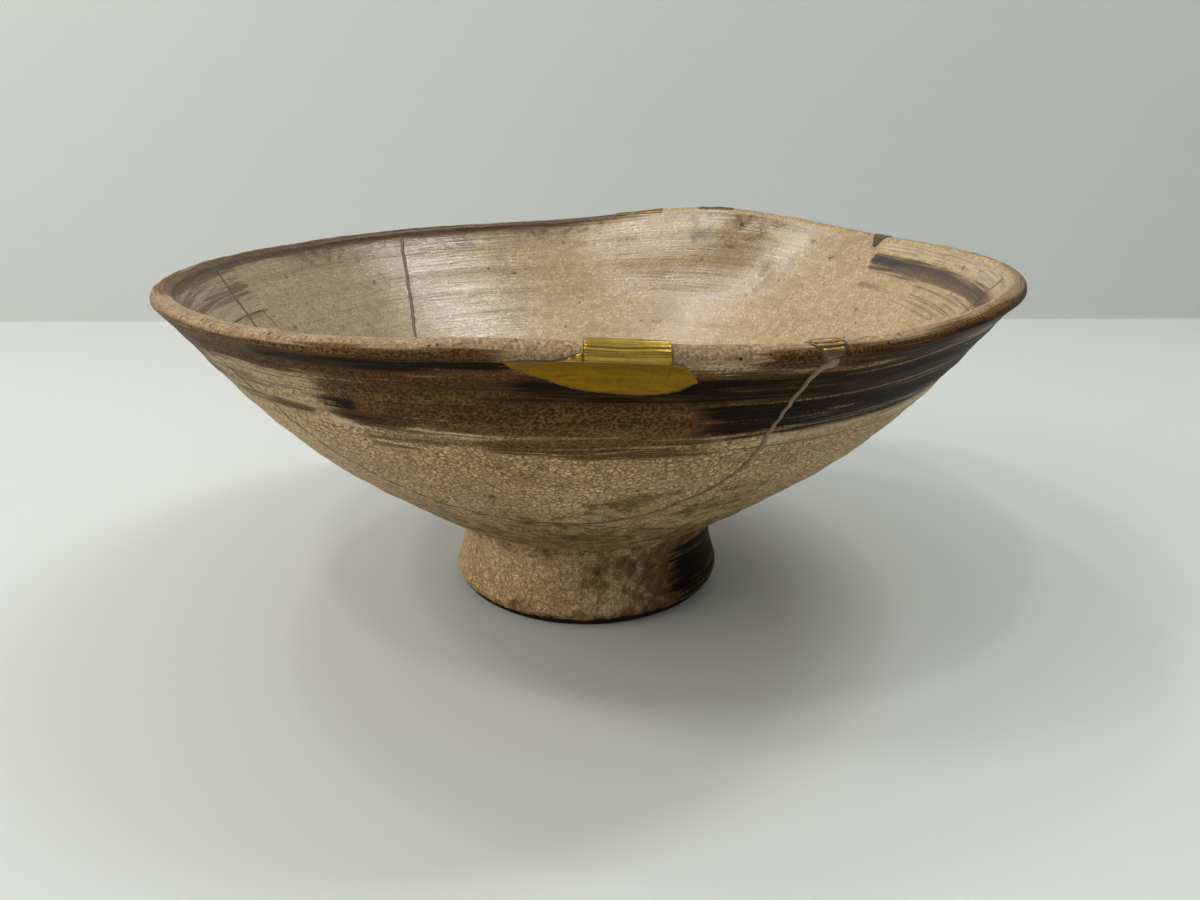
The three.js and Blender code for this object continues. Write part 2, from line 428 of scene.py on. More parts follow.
# Stains, with painted shade among them. Outside, the rows at 7 and 8 mm over the foot's front and right side
# are partly stain and partly painted shade on the side away from the light. Inside, the row from 138 to 150
# degrees is partly brown streaks and partly painted shade. The rings right round the lower wall, the foot's
# top and the inner well make those places darker.
STAINS_AND_SHADE = strokes(
    Side.OUTSIDE,
    (-180, 180, 20.5, 4.2, 0.55, 1), (-46, 44, 25.0, 3.2, 0.30, 14), (-1.5, 9, 35.4, 1.9, 0.62, 3, 1.6),
    (4, 13.5, 37.8, 1.2, 0.55, 3, 1.2), (14.5, 27, 33.2, 2.3, 0.48, 4), (18, 46, 36.8, 0.8, 0.42, 8, -1.4),
    (-13, 0, 29.2, 1.0, 0.65, 5), (-8, 11, 23.8, 2.0, 0.5, 5), (-24, -20, 24.9, 1.0, 0.5, 2),
    (60, 130, 33.0, 4.0, 0.3, 20), (200, 250, 36.0, 3.0, 0.25, 16), (-180, 180, 14.5, 2.2, 0.35, 1),
    # The first row here is partly stain and partly painted shade over the foot's right side.
    (22, 95, 7.0, 8.5, 1.0, 22), (-180, 180, 1.2, 1.5, 0.75, 1), (-32, -20, 3.6, 1.4, 0.5, 5),
    (2, 20, 11.5, 2.0, 0.5, 8), (-6, 34, 8.0, 7.5, 0.42, 16), (-70, 80, 29.0, 6.0, 0.34, 18),
    (40, 130, 61.6, 2.0, 0.6, 16), (150, 230, 6.0, 6.0, 0.6, 24),
) + strokes(
    Side.INSIDE,
    (151, 156.5, 57.6, 1.9, 0.62, 1.6), (204, 212, 45.7, 0.9, 0.3, 3), (184, 190, 58.0, 1.2, 0.3, 3),
    # The last row here, from 138 to 150 degrees on the dent's right flank, is partly brown streaks and partly
    # painted shade on the side that faces away from the light.
    (176, 249, 60.6, 1.3, 0.62, 10), (185, 250, 58.4, 1.0, 0.4, 10), (138, 150, 56.5, 4.2, 0.34, 8),
    (142, 160, 47.5, 0.9, 0.4, 6), (128, 165, 61.0, 1.3, 0.5, 8),
    (-180, 180, 15.0, 3.0, 0.25, 1), (158, 168, 42.0, 3.0, 0.2, 6),
)
FINE_STROKES = strokes(
    Side.INSIDE,
    (77, 103, 55.4, 0.22, 0.7, 5, 0.2), (77, 88, 54.5, 0.16, 0.75, 3), (79, 99.5, 53.85, 0.16, 0.9, 3, 0.3),
    (80, 98, 53.5, 0.14, 0.8, 3, 0.3), (107.5, 114.9, 53.6, 0.6, 0.6, 1.2), (82, 101, 52.7, 0.3, 0.6, 5, 0.4),
    (84, 107, 51.9, 0.18, 0.75, 5, 0.7), (183, 247, 59.55, 0.2, 0.62, 14), (228, 262, 58.2, 0.16, 0.45, 12),
    (263, 272, 53.0, 0.22, 0.7, 2), (238, 274, 61.5, 0.22, 0.7, 8), (186, 250, 61.2, 0.2, 0.45, 14),
    (262, 280, 60.6, 0.2, 0.75, 4), (271, 296, 59.8, 0.24, 0.8, 4), (263, 277, 59.0, 0.18, 0.7, 4),
    (269, 290, 58.3, 0.26, 0.75, 5), (264, 275, 57.3, 0.16, 0.6, 3), (270, 286, 56.4, 0.2, 0.6, 4),
    (276, 300, 61.2, 0.26, 0.8, 5),
) + strokes(
    Side.OUTSIDE,
    (-29, -3, 48.4, 0.5, 0.85, 3, 0.7), (-9, 13, 45.3, 0.26, 0.65, 4, -0.5),
    (12, 52, 46.3, 0.28, 0.8, 6, -0.8),
    (-52, -20, 57.85, 0.26, 0.75, 8), (14, 31, 44.6, 0.2, 0.5, 5), (9.5, 12.5, 43.3, 0.3, 0.55, 1.5),
    (-50, -26, 54.6, 0.34, 0.55, 8), (20, 60, 48.5, 0.3, 0.6, 6),
)
# Thin pale lines; the one from 24 to 62 degrees at 58.6 mm is partly a painted sheen under the outer lip.
PALE_LINES_AND_SHEEN = strokes(
    Side.OUTSIDE,
    (-37, -21, 57.4, 0.18, 0.7, 6), (10, 52, 54.7, 0.2, 0.45, 8), (24, 62, 58.6, 0.2, 0.5, 8, 0.6),
    (14, 44, 49.6, 0.14, 0.35, 8),
)


@dataclass(frozen=True)
class Mark:
    """A small dark mark in the glaze, wide and tall in millimetres."""

    side: Side
    azimuth: float
    height: float
    wide: float
    tall: float
    strength: float


MARKS = (
    Mark(Side.INSIDE, 144.8, 59.6, 1.3, 1.0, 0.9), Mark(Side.INSIDE, 130.0, 59.3, 0.8, 0.7, 0.9),
    Mark(Side.INSIDE, 124.6, 57.0, 1.0, 0.8, 0.8), Mark(Side.INSIDE, 139.2, 49.6, 0.7, 0.8, 0.7),
    Mark(Side.INSIDE, 137.4, 51.8, 0.7, 0.8, 0.7), Mark(Side.INSIDE, 136.4, 53.3, 0.6, 0.8, 0.6),
    Mark(Side.INSIDE, 110.0, 49.0, 0.7, 0.6, 0.7), Mark(Side.INSIDE, 105.5, 46.6, 0.8, 0.6, 0.5),
    Mark(Side.INSIDE, 171.0, 57.2, 0.8, 1.0, 0.5), Mark(Side.INSIDE, 175.2, 60.6, 0.8, 1.0, 0.6),
    Mark(Side.INSIDE, 197.5, 51.7, 0.8, 0.7, 0.7), Mark(Side.INSIDE, 190.0, 45.0, 0.7, 0.7, 0.6),
    Mark(Side.INSIDE, 229.0, 54.3, 0.7, 1.3, 0.8), Mark(Side.INSIDE, 224.2, 49.0, 1.1, 0.8, 0.9),
    Mark(Side.INSIDE, 246.0, 45.9, 0.9, 0.9, 0.6), Mark(Side.INSIDE, 251.0, 57.1, 0.7, 0.7, 0.6),
    Mark(Side.INSIDE, 259.5, 48.6, 0.8, 0.9, 0.6), Mark(Side.INSIDE, 162.5, 54.3, 0.6, 0.6, 0.4),
    Mark(Side.OUTSIDE, -14.3, 37.3, 0.8, 0.8, 0.9), Mark(Side.OUTSIDE, -3.5, 40.6, 1.8, 1.0, 0.55),
    Mark(Side.OUTSIDE, -20.8, 53.2, 1.6, 1.2, 0.4), Mark(Side.OUTSIDE, 8.5, 43.2, 1.8, 0.6, 0.4),
    Mark(Side.OUTSIDE, -11.5, 44.1, 2.0, 0.5, 0.45),
)


# ------------------------------------------------------------------------------------- node graphs


class Graph:
    """A node tree being wired, with short calls for what is used over and over."""

    def __init__(self, tree: bpy.types.NodeTree) -> None:
        """Keeps the tree to wire."""
        self.tree = tree

    def node(self, kind: str, inputs: dict[str | int, object] | None = None, **settings: object):
        """Adds a node.

        Args:
            kind: Its type name without the ShaderNode prefix.
            inputs: What goes into its sockets: a value, or the socket that feeds it.
            **settings: Its own properties.

        Returns:
            The node.
        """
        made = self.tree.nodes.new("ShaderNode" + kind)
        for name, value in settings.items():
            setattr(made, name, value)
        for name, value in (inputs or {}).items():
            self.feed(made.inputs[name], value)
        return made

    def feed(self, socket: Socket, value: object) -> None:
        """Links or sets one input socket."""
        if isinstance(value, bpy.types.NodeSocket):
            self.tree.links.new(value, socket)
        else:
            socket.default_value = value

    def math(self, operation: str, *values: object, clamp: bool = False) -> Socket:
        """Adds a Math node and gives its result.

        Args:
            operation: What it works out.
            *values: What goes into it, as values or sockets.
            clamp: Whether its result stays from 0 to 1.

        Returns:
            Its output.
        """
        made = self.node("Math", operation=operation, use_clamp=clamp)
        for socket, value in zip(made.inputs, values):
            self.feed(socket, value)
        return made.outputs[0]

    def spread(self, value: Socket, low: float, high: float, to_low: float = 0.0,
               to_high: float = 1.0) -> Socket:
        """Maps a value smoothly from one range onto another, and stops at its ends.

        Args:
            value: The value to map.
            low: Where the first range starts.
            high: Where it ends.
            to_low: Where the second range starts.
            to_high: Where it ends.

        Returns:
            The mapped value.
        """
        made = self.node("MapRange", {"Value": value, "From Min": low, "From Max": high,
                                      "To Min": to_low, "To Max": to_high},
                         interpolation_type="SMOOTHSTEP")
        return made.outputs["Result"]

    def mix(self, share: object, first: object, second: object, blend: str = "MIX") -> Socket:
        """Mixes two colours.

        Args:
            share: How much of the second there is.
            first: The first colour.
            second: The second colour.
            blend: The way that they are mixed.

        Returns:
            The mixed colour.
        """
        made = self.node("Mix", data_type="RGBA", blend_type=blend, clamp_factor=True)
        self.feed(made.inputs["Factor"], share)
        self.feed(made.inputs[6], first)
        self.feed(made.inputs[7], second)
        return made.outputs[2]

    def attribute(self, name: str) -> bpy.types.Node:
        """Adds a node that reads one of the mesh's attributes."""
        return self.node("Attribute", attribute_type="GEOMETRY", attribute_name=name)

    def millimetres(self) -> Socket:
        """Gives the piece's own coordinates in millimetres."""
        place = self.node("TexCoord").outputs["Object"]
        scaled = self.node("VectorMath", {0: place}, operation="SCALE")
        scaled.inputs["Scale"].default_value = 1.0 / MM
        return scaled.outputs[0]

    def effect(self, group: bpy.types.NodeTree, inputs: dict[str, object]) -> bpy.types.Node:
        """Places a node group with its own values.

        Args:
            group: The group.
            inputs: What goes into its sockets.

        Returns:
            The group's node.
        """
        made = self.node("Group")
        made.node_tree = group
        for name, value in inputs.items():
            self.feed(made.inputs[name], value)
        return made


def new_group(name: str, inputs: dict[str, tuple[str, float]], outputs: dict[str, str]):
    """Starts a shader node group.

    Args:
        name: Its name.
        inputs: Its inputs, each with a kind and a default.
        outputs: Its outputs, each with a kind.

    Returns:
        The group, a graph to wire it with, its input sockets and its output node.
    """
    group = bpy.data.node_groups.new(name, "ShaderNodeTree")
    for label, (kind, default) in inputs.items():
        made = group.interface.new_socket(label, in_out="INPUT", socket_type="NodeSocket" + kind)
        if kind == "Float":
            made.default_value = default
    for label, kind in outputs.items():
        group.interface.new_socket(label, in_out="OUTPUT", socket_type="NodeSocket" + kind)
    entry = group.nodes.new("NodeGroupInput")
    leave = group.nodes.new("NodeGroupOutput")
    return group, Graph(group), entry.outputs, leave


class Effects:
    """The shared surface effects, each a node group built once."""

    def __init__(self) -> None:
        """Builds every group."""
        self.streaks = self.make_streaks()
        self.wobble = self.make_wobble()
        self.crackle = self.make_crackle()
        self.mottle = self.make_mottle()
        self.specks = self.make_specks()
        self.fine_stroke = self.make_fine_stroke()

    @staticmethod
    def make_streaks() -> bpy.types.NodeTree:
        """Builds brush streaks that run round the bowl."""
        group, graph, given, leave = new_group(
            "Brush streaks", {"Turned": ("Vector", 0.0), "Around": ("Float", 0.04),
                              "Along": ("Float", 1.0), "Shift": ("Float", 0.0)}, {"Streak": "Float"})
        parts = graph.node("SeparateXYZ", {0: given["Turned"]}).outputs
        place = graph.node("CombineXYZ", {
            0: graph.math("MULTIPLY_ADD", parts[0], given["Around"], given["Shift"]),
            1: graph.math("MULTIPLY", parts[1], given["Around"]),
            2: graph.math("MULTIPLY", parts[2], given["Along"])})
        made = graph.node("TexNoise", {"Vector": place.outputs[0], "Scale": 1.0, "Detail": 3.0,
                                       "Roughness": 0.62, "Distortion": 0.25})
        graph.feed(leave.inputs["Streak"], graph.spread(made.outputs[0], 0.3, 0.7))
        return group

    @staticmethod
    def make_wobble() -> bpy.types.NodeTree:
        """Builds a small shift of place that bends what is drawn with it."""
        group, graph, given, leave = new_group(
            "Wobble", {"Place": ("Vector", 0.0), "Reach": ("Float", 0.7)}, {"Place": "Vector"})
        made = graph.node("TexNoise", {"Vector": given["Place"], "Scale": 1.4, "Detail": 2.0})
        reach = graph.node("CombineXYZ", {0: given["Reach"], 1: given["Reach"], 2: given["Reach"]})
        moved = graph.node("VectorMath", {0: made.outputs["Color"], 1: reach.outputs[0], 2: given["Place"]},
                           operation="MULTIPLY_ADD")
        graph.feed(leave.inputs["Place"], moved.outputs[0])
        return group

    @staticmethod
    def make_crackle() -> bpy.types.NodeTree:
        """Builds the net of fine cracks in a glaze."""
        group, graph, given, leave = new_group(
            "Glaze crackle", {"Place": ("Vector", 0.0), "Cell": ("Float", 1.2),
                              "Line": ("Float", 0.09)}, {"Crack": "Float"})
        scale = graph.math("DIVIDE", 1.0, given["Cell"])
        cells = graph.node("TexVoronoi", {"Vector": given["Place"], "Scale": scale},
                           feature="DISTANCE_TO_EDGE")
        edge = graph.math("DIVIDE", cells.outputs["Distance"], given["Line"])
        graph.feed(leave.inputs["Crack"], graph.spread(edge, 1.0, 0.0))
        return group

    @staticmethod
    def make_mottle() -> bpy.types.NodeTree:
        """Builds soft cloudy variation."""
        group, graph, given, leave = new_group(
            "Mottle", {"Place": ("Vector", 0.0), "Size": ("Float", 10.0), "Contrast": ("Float", 1.0)},
            {"Cloud": "Float"})
        made = graph.node("TexNoise", {"Vector": given["Place"],
                                       "Scale": graph.math("DIVIDE", 1.0, given["Size"]),
                                       "Detail": 3.0, "Roughness": 0.6})
        centred = graph.math("SUBTRACT", made.outputs[0], 0.5)
        graph.feed(leave.inputs["Cloud"],
                   graph.math("MULTIPLY_ADD", centred, given["Contrast"], 0.5, clamp=True))
        return group

    @staticmethod
    def make_specks() -> bpy.types.NodeTree:
        """Builds scattered dark specks and pinholes."""
        group, graph, given, leave = new_group(
            "Specks", {"Place": ("Vector", 0.0), "Spacing": ("Float", 3.0), "Size": ("Float", 0.3),
                       "Share": ("Float", 0.4)}, {"Speck": "Float"})
        cells = graph.node("TexVoronoi", {"Vector": given["Place"],
                                          "Scale": graph.math("DIVIDE", 1.0, given["Spacing"])})
        chance = graph.node("SeparateColor", {0: cells.outputs["Color"]}).outputs
        reach = graph.math("DIVIDE", given["Size"], given["Spacing"])
        size = graph.math("MULTIPLY", reach, graph.math("MULTIPLY_ADD", chance[1], 0.9, 0.4))
        inner = graph.math("DIVIDE", cells.outputs["Distance"], size)
        spot = graph.spread(inner, 1.0, 0.5)
        kept = graph.math("LESS_THAN", chance[0], given["Share"])
        graph.feed(leave.inputs["Speck"], graph.math("MULTIPLY", spot, kept))
        return group

    @staticmethod
    def make_fine_stroke() -> bpy.types.NodeTree:
        """Builds one thin line round the wall, used for brush lines and for lines of painted sheen."""
        names = ("Azimuth", "Along", "Middle", "Half turn", "Soft", "At", "Half", "Slant", "Strength")
        group, graph, given, leave = new_group(
            "Fine stroke", {name: ("Float", 1.0) for name in names}, {"Mask": "Float"})
        turn = graph.math("WRAP", graph.math("SUBTRACT", given["Azimuth"], given["Middle"]), 180.0, -180.0)
        room = graph.math("SUBTRACT", given["Half turn"], graph.math("ABSOLUTE", turn))
        across = graph.math("DIVIDE", room, given["Soft"], clamp=True)
        middle = graph.math("MULTIPLY_ADD", turn, given["Slant"], given["At"])
        off = graph.math("DIVIDE", graph.math("SUBTRACT", given["Along"], middle), given["Half"])
        near = graph.math("SUBTRACT", 1.0, graph.math("MULTIPLY", off, off), clamp=True)
        mask = graph.math("MULTIPLY", graph.math("MULTIPLY", across, near), given["Strength"])
        graph.feed(leave.inputs["Mask"], mask)
        return group


# ---------------------------------------------------------------------------------------- finishes


def rgb(red: float, green: float, blue: float) -> tuple[float, float, float, float]:
    """Makes an opaque colour from linear parts."""
    return (red, green, blue, 1.0)


def new_material(name: str) -> tuple[bpy.types.Material, Graph, bpy.types.Node]:
    """Starts a material and gives it, its graph and its Principled shader."""
    made = bpy.data.materials.new(name)
    made.use_nodes = True
    graph = Graph(made.node_tree)
    shader = made.node_tree.nodes["Principled BSDF"]
    return made, graph, shader


@dataclass(frozen=True)
class GlazeFinish:
    """The crackled beige glaze over slip and iron brushwork, bare at the standing ring, with painted shade
    over the foot's right side, on the dent's right flank and on the inner left, and a painted sheen under the
    outer lip.
    """

    warm: tuple = rgb(0.415, 0.292, 0.138)
    warm_light: tuple = rgb(0.525, 0.380, 0.195)
    # Darker, cooler colour for the inner left, the side that the lamps light least: painted shade.
    cool_shade: tuple = rgb(0.36, 0.285, 0.150)
    outer: tuple = rgb(0.44, 0.285, 0.125)
    outer_light: tuple = rgb(0.68, 0.490, 0.260)
    # Colour of the pale slip, and of the painted sheen under the outer lip on the right.
    pale: tuple = rgb(0.58, 0.46, 0.30)
    iron: tuple = rgb(0.058, 0.025, 0.007)
    iron_light: tuple = rgb(0.135, 0.072, 0.026)
    # Near-black of the dark brushwork; also the painted shade over the foot's right side.
    dark_iron_and_shade: tuple = rgb(0.010, 0.005, 0.0015)
    # Brown of the stains; also the colour of painted shade.
    stain_and_shade: tuple = rgb(0.125, 0.070, 0.022)
    crack: tuple = rgb(0.095, 0.050, 0.018)
    # Near-black of specks and of the strongest stains, which include the painted shade over the foot's right
    # side.
    speck_and_shade: tuple = rgb(0.030, 0.016, 0.007)
    lip: tuple = rgb(0.29, 0.200, 0.120)
    clay: tuple = rgb(0.030, 0.016, 0.007)

    def material(self, effects: Effects, form: ThrownForm) -> bpy.types.Material:
        """Builds the material.

        Args:
            effects: The shared node groups.
            form: The bowl's form, which places the fine strokes.

        Returns:
            The finished material.
        """
        made, graph, shader = new_material("crackled glaze")
        place = graph.millimetres()
        turned = graph.attribute("turned").outputs["Vector"]
        parts = graph.node("SeparateXYZ", {0: turned}).outputs
        azimuth = graph.math("MULTIPLY", graph.math("ARCTAN2", parts[0],
                                                    graph.math("MULTIPLY", parts[1], -1.0)),
                             180.0 / math.pi)
        masks = {name: graph.attribute(name).outputs["Fac"]
                 for name in ("inside", "iron", "dark", "pale", "stain_and_shade", "bare", "lip", "cool_shade", "mark")}

        def streak(around: float, along: float, shift: float) -> Socket:
            """Gives brush streaks of one length and width."""
            return graph.effect(effects.streaks, {"Turned": turned, "Around": around, "Along": along,
                                                  "Shift": shift}).outputs[0]

        def cloud(size: float, contrast: float) -> Socket:
            """Gives cloudy variation of one size."""
            return graph.effect(effects.mottle, {"Place": place, "Size": size,
                                                 "Contrast": contrast}).outputs[0]

        def grey(value: Socket) -> Socket:
            """Makes a grey of one value."""
            return graph.node("CombineColor", {0: value, 1: value, 2: value}).outputs[0]

        coarse_streak, fine_streak = streak(0.035, 0.75, 3.0), streak(0.085, 2.3, 11.0)
        big_cloud, small_cloud = cloud(16.0, 2.2), cloud(2.2, 2.4)
        grain = cloud(0.42, 2.8)
        bent = graph.effect(effects.wobble, {"Place": place, "Reach": 0.7}).outputs[0]

        inner_base = graph.mix(big_cloud, self.warm, self.warm_light)
        # Painted shade: the inner left takes the darker, cooler colour.
        inner_base = graph.mix(masks["cool_shade"], inner_base, self.cool_shade)
        outer_base = graph.mix(big_cloud, self.outer, self.outer_light)
        base = graph.mix(masks["inside"], outer_base, inner_base)
        base = graph.mix(graph.math("MULTIPLY", masks["lip"], 0.75), base, self.lip)
        shade = graph.spread(small_cloud, 0.25, 0.75, 0.82, 1.12)
        grained = graph.math("MULTIPLY_ADD", graph.math("SUBTRACT", grain, 0.5),
                             graph.spread(masks["inside"], 0.0, 1.0, 1.0, 0.42), 0.97)
        shade = graph.math("MULTIPLY", shade, grained)
        shade = graph.math("MULTIPLY", shade, graph.spread(fine_streak, 0.0, 1.0, 0.93, 1.06))
        base = graph.mix(1.0, base, grey(shade), "MULTIPLY")

        on_foot = graph.spread(parts[2], form.foot_end - 1.0, form.foot_end - 1.5)
        cell = graph.spread(on_foot, 0.0, 1.0, 0.95, 1.5)
        net = graph.effect(effects.crackle, {"Place": bent, "Cell": cell, "Line": 0.19}).outputs[0]
        net = graph.math("MULTIPLY", net, graph.spread(small_cloud, 0.15, 0.65, 0.40, 1.0))
        crack_share = graph.spread(masks["inside"], 0.0, 1.0, 0.80, 0.34)
        crack_share = graph.math("MULTIPLY", crack_share, graph.spread(masks["lip"], 0.0, 1.0, 1.0, 0.3))
        crack_share = graph.math("MULTIPLY", crack_share, graph.spread(on_foot, 0.0, 1.0, 1.0, 0.5))
        base = graph.mix(graph.math("MULTIPLY", net, crack_share), base, self.crack)

        # Pale slip, and the painted sheen under the outer lip on the right.
        slip_and_sheen_cover = graph.math("MULTIPLY_ADD", graph.math("SUBTRACT", fine_streak, 0.5), 0.7, masks["pale"])
        slip_and_sheen_share = graph.math("MULTIPLY", graph.spread(slip_and_sheen_cover, 0.25, 0.75),
                                graph.spread(masks["pale"], 0.03, 0.2))
        base = graph.mix(graph.math("MULTIPLY", slip_and_sheen_share, 0.8), base, self.pale)
        stain_and_shade_cover = graph.math("MULTIPLY_ADD", graph.math("SUBTRACT", small_cloud, 0.5), 0.9,
                                 masks["stain_and_shade"])
        stain_and_shade_share = graph.math("MULTIPLY", graph.spread(stain_and_shade_cover, 0.15, 0.85), 0.85)
        # The strongest rows turn near-black, among them the painted shade over the foot's right side.
        stain_and_shade_colour = graph.mix(graph.spread(stain_and_shade_cover, 0.75, 1.1), self.stain_and_shade, self.speck_and_shade)
        base = graph.mix(stain_and_shade_share, base, stain_and_shade_colour)

        brushed = graph.math("MULTIPLY_ADD", coarse_streak, 0.38, graph.math("MULTIPLY", fine_streak, 0.34))
        brushed = graph.math("MULTIPLY_ADD", grain, 0.28, brushed)
        centred = graph.math("SUBTRACT", brushed, 0.5)
        iron_cover = graph.math("MULTIPLY_ADD", centred, 0.95, masks["iron"])
        iron_share = graph.math("MULTIPLY", graph.spread(iron_cover, 0.36, 0.60),
                                graph.spread(masks["iron"], 0.02, 0.12))
        thin = self.lines(graph, effects, form, azimuth, parts[2], FINE_STROKES)
        thin = graph.math("MULTIPLY", thin, graph.spread(brushed, 0.2, 0.55, 0.3, 1.0))
        iron_all = graph.math("MAXIMUM", iron_share, thin)
        tone = graph.math("MULTIPLY_ADD", masks["iron"], 0.5, graph.math("MULTIPLY", centred, -1.3))
        iron_and_shade_colour = graph.mix(graph.spread(tone, -0.15, 0.85), self.iron_light, self.iron)
        dark_cover = graph.math("MULTIPLY_ADD", centred, 1.2, masks["dark"])
        dark_share = graph.math("MULTIPLY", graph.spread(dark_cover, 0.22, 0.80),
                                graph.spread(masks["dark"], 0.03, 0.2))
        # A full dark mask gives near-black: dark brushwork, and painted shade over the foot's right side.
        iron_and_shade_colour = graph.mix(dark_share, iron_and_shade_colour, self.dark_iron_and_shade)
        # Thin pale lines, one of them partly a painted sheen under the outer lip.
        bright = self.lines(graph, effects, form, azimuth, parts[2], PALE_LINES_AND_SHEEN)
        bright = graph.math("MULTIPLY", bright, graph.spread(brushed, 0.35, 0.6, 0.2, 1.0))
        covered = graph.math("MAXIMUM", iron_all, dark_share)
        covered = graph.math("MULTIPLY", covered, graph.math("SUBTRACT", 1.0, bright))
        glimmer = graph.spread(grain, 0.2, 0.85, 0.55, 1.55)
        iron_and_shade_colour = graph.mix(1.0, iron_and_shade_colour, grey(glimmer), "MULTIPLY")
        base = graph.mix(covered, base, iron_and_shade_colour)

        specks = graph.effect(effects.specks, {"Place": bent, "Spacing": 3.2, "Size": 0.52, "Share": 0.40})
        pinholes = graph.effect(effects.specks, {"Place": bent, "Spacing": 0.9, "Size": 0.26,
                                                 "Share": 0.42})
        lip_holes = graph.math("MULTIPLY", pinholes.outputs[0],
                               graph.math("MULTIPLY_ADD", masks["lip"], 0.80, 0.20))
        marks = graph.spread(graph.math("MULTIPLY_ADD", graph.math("SUBTRACT", grain, 0.5), 0.7,
                                        masks["mark"]), 0.3, 0.6)
        marks = graph.math("MULTIPLY", marks, graph.spread(masks["mark"], 0.05, 0.2))
        dots = graph.math("MAXIMUM", graph.math("MULTIPLY", specks.outputs[0], 0.7), lip_holes)
        dots = graph.math("MAXIMUM", dots, marks)
        base = graph.mix(graph.math("MULTIPLY", dots, 0.85), base, self.speck_and_shade)
        bare = graph.spread(graph.math("MULTIPLY_ADD", graph.math("SUBTRACT", small_cloud, 0.5), 0.5,
                                       masks["bare"]), 0.35, 0.6)
        base = graph.mix(bare, base, self.clay)
        graph.feed(shader.inputs["Base Color"], base)

        rough = graph.spread(big_cloud, 0.2, 0.8, 0.13, 0.24)
        rough = graph.math("MULTIPLY_ADD", graph.math("SUBTRACT", 1.0, masks["inside"]), 0.20, rough)
        rough = graph.math("MAXIMUM", rough, graph.math("MULTIPLY", covered, 0.45))
        rough = graph.math("MAXIMUM", rough, graph.math("MULTIPLY", bare, 0.85))
        graph.feed(shader.inputs["Roughness"], rough)
        graph.feed(shader.inputs["Specular IOR Level"], graph.spread(masks["inside"], 0.0, 1.0, 0.03, 0.85))

        height = graph.math("MULTIPLY", net, -0.35)
        height = graph.math("MULTIPLY_ADD", fine_streak, 0.9, height)
        height = graph.math("MULTIPLY_ADD", coarse_streak, 0.8, height)
        height = graph.math("MULTIPLY_ADD", grain, 0.5, height)
        bump = graph.node("Bump", {"Height": height, "Strength": 0.55, "Distance": 0.06 * MM})
        graph.feed(shader.inputs["Normal"], bump.outputs[0])
        return made

    @staticmethod
    def lines(graph: Graph, effects: Effects, form: ThrownForm, azimuth: Socket, along: Socket,
              passes: tuple[Stroke, ...]) -> Socket:
        """Joins thin strokes into one mask.

        Args:
            graph: The graph of the material.
            effects: The shared node groups.
            form: The bowl's form.
            azimuth: The azimuth of the place that is shaded.
            along: Its distance along the outline.
            passes: The strokes.

        Returns:
            The mask.
        """
        joined = None
        for stroke in passes:
            at = form.along_at(stroke.side, stroke.height)
            low, high = (form.along_at(stroke.side, stroke.height + sign * 0.5) for sign in (-1, 1))
            scale = high - low
            line = graph.effect(effects.fine_stroke, {
                "Azimuth": azimuth, "Along": along, "Middle": stroke.middle,
                "Half turn": stroke.half_turn, "Soft": stroke.soft, "At": at,
                "Half": stroke.half * abs(scale), "Strength": stroke.strength,
                "Slant": stroke.slant * scale / (2.0 * stroke.half_turn)}).outputs[0]
            joined = line if joined is None else graph.math("MAXIMUM", joined, line)
        return joined


@dataclass(frozen=True)
class GoldFinish:
    """Burnished gold powder on lacquer, brighter on the ridged lip, with brown worn through."""

    name: str
    gold: tuple = rgb(0.27, 0.145, 0.006)
    bright: tuple = rgb(0.43, 0.28, 0.055)
    lacquer: tuple = rgb(0.10, 0.040, 0.008)
    wear: float = 0.20

    def material(self, effects: Effects) -> bpy.types.Material:
        """Builds the material from the shared node groups."""
        made, graph, shader = new_material(self.name)
        place = graph.millimetres()
        turned = graph.attribute("turned").outputs["Vector"]
        on_lip = graph.attribute("lip").outputs["Fac"]
        cloud = graph.effect(effects.mottle, {"Place": place, "Size": 3.5, "Contrast": 2.0}).outputs[0]
        grain = graph.effect(effects.mottle, {"Place": place, "Size": 0.35, "Contrast": 2.5}).outputs[0]
        streak = graph.effect(effects.streaks, {"Turned": turned, "Around": 0.22, "Along": 3.6,
                                                "Shift": 5.0}).outputs[0]
        colour = graph.mix(graph.math("MULTIPLY", on_lip, 0.85), self.gold, self.bright)
        shade = graph.spread(streak, 0.0, 1.0, 0.84, 1.12)
        shade = graph.math("MULTIPLY", shade, graph.spread(grain, 0.2, 0.8, 0.90, 1.10))
        grey = graph.node("CombineColor", {0: shade, 1: shade, 2: shade}).outputs[0]
        colour = graph.mix(1.0, colour, grey, "MULTIPLY")
        worn = graph.math("MULTIPLY_ADD", cloud, 0.6, graph.math("MULTIPLY", streak, 0.25))
        worn = graph.math("MULTIPLY_ADD", grain, 0.15, worn)
        worn = graph.spread(worn, self.wear + 0.10, self.wear - 0.05)
        colour = graph.mix(graph.math("MULTIPLY", worn, 0.7), colour, self.lacquer)
        graph.feed(shader.inputs["Base Color"], colour)
        graph.feed(shader.inputs["Metallic"], graph.spread(worn, 0.0, 1.0, 1.0, 0.4))
        graph.feed(shader.inputs["Roughness"], graph.spread(on_lip, 0.0, 1.0, 0.50, 0.28))
        height = graph.math("MULTIPLY_ADD", streak, 0.5, graph.math("MULTIPLY", grain, 0.5))
        bump = graph.node("Bump", {"Height": height, "Strength": 0.4, "Distance": 0.03 * MM})
        graph.feed(shader.inputs["Normal"], bump.outputs[0])
        return made


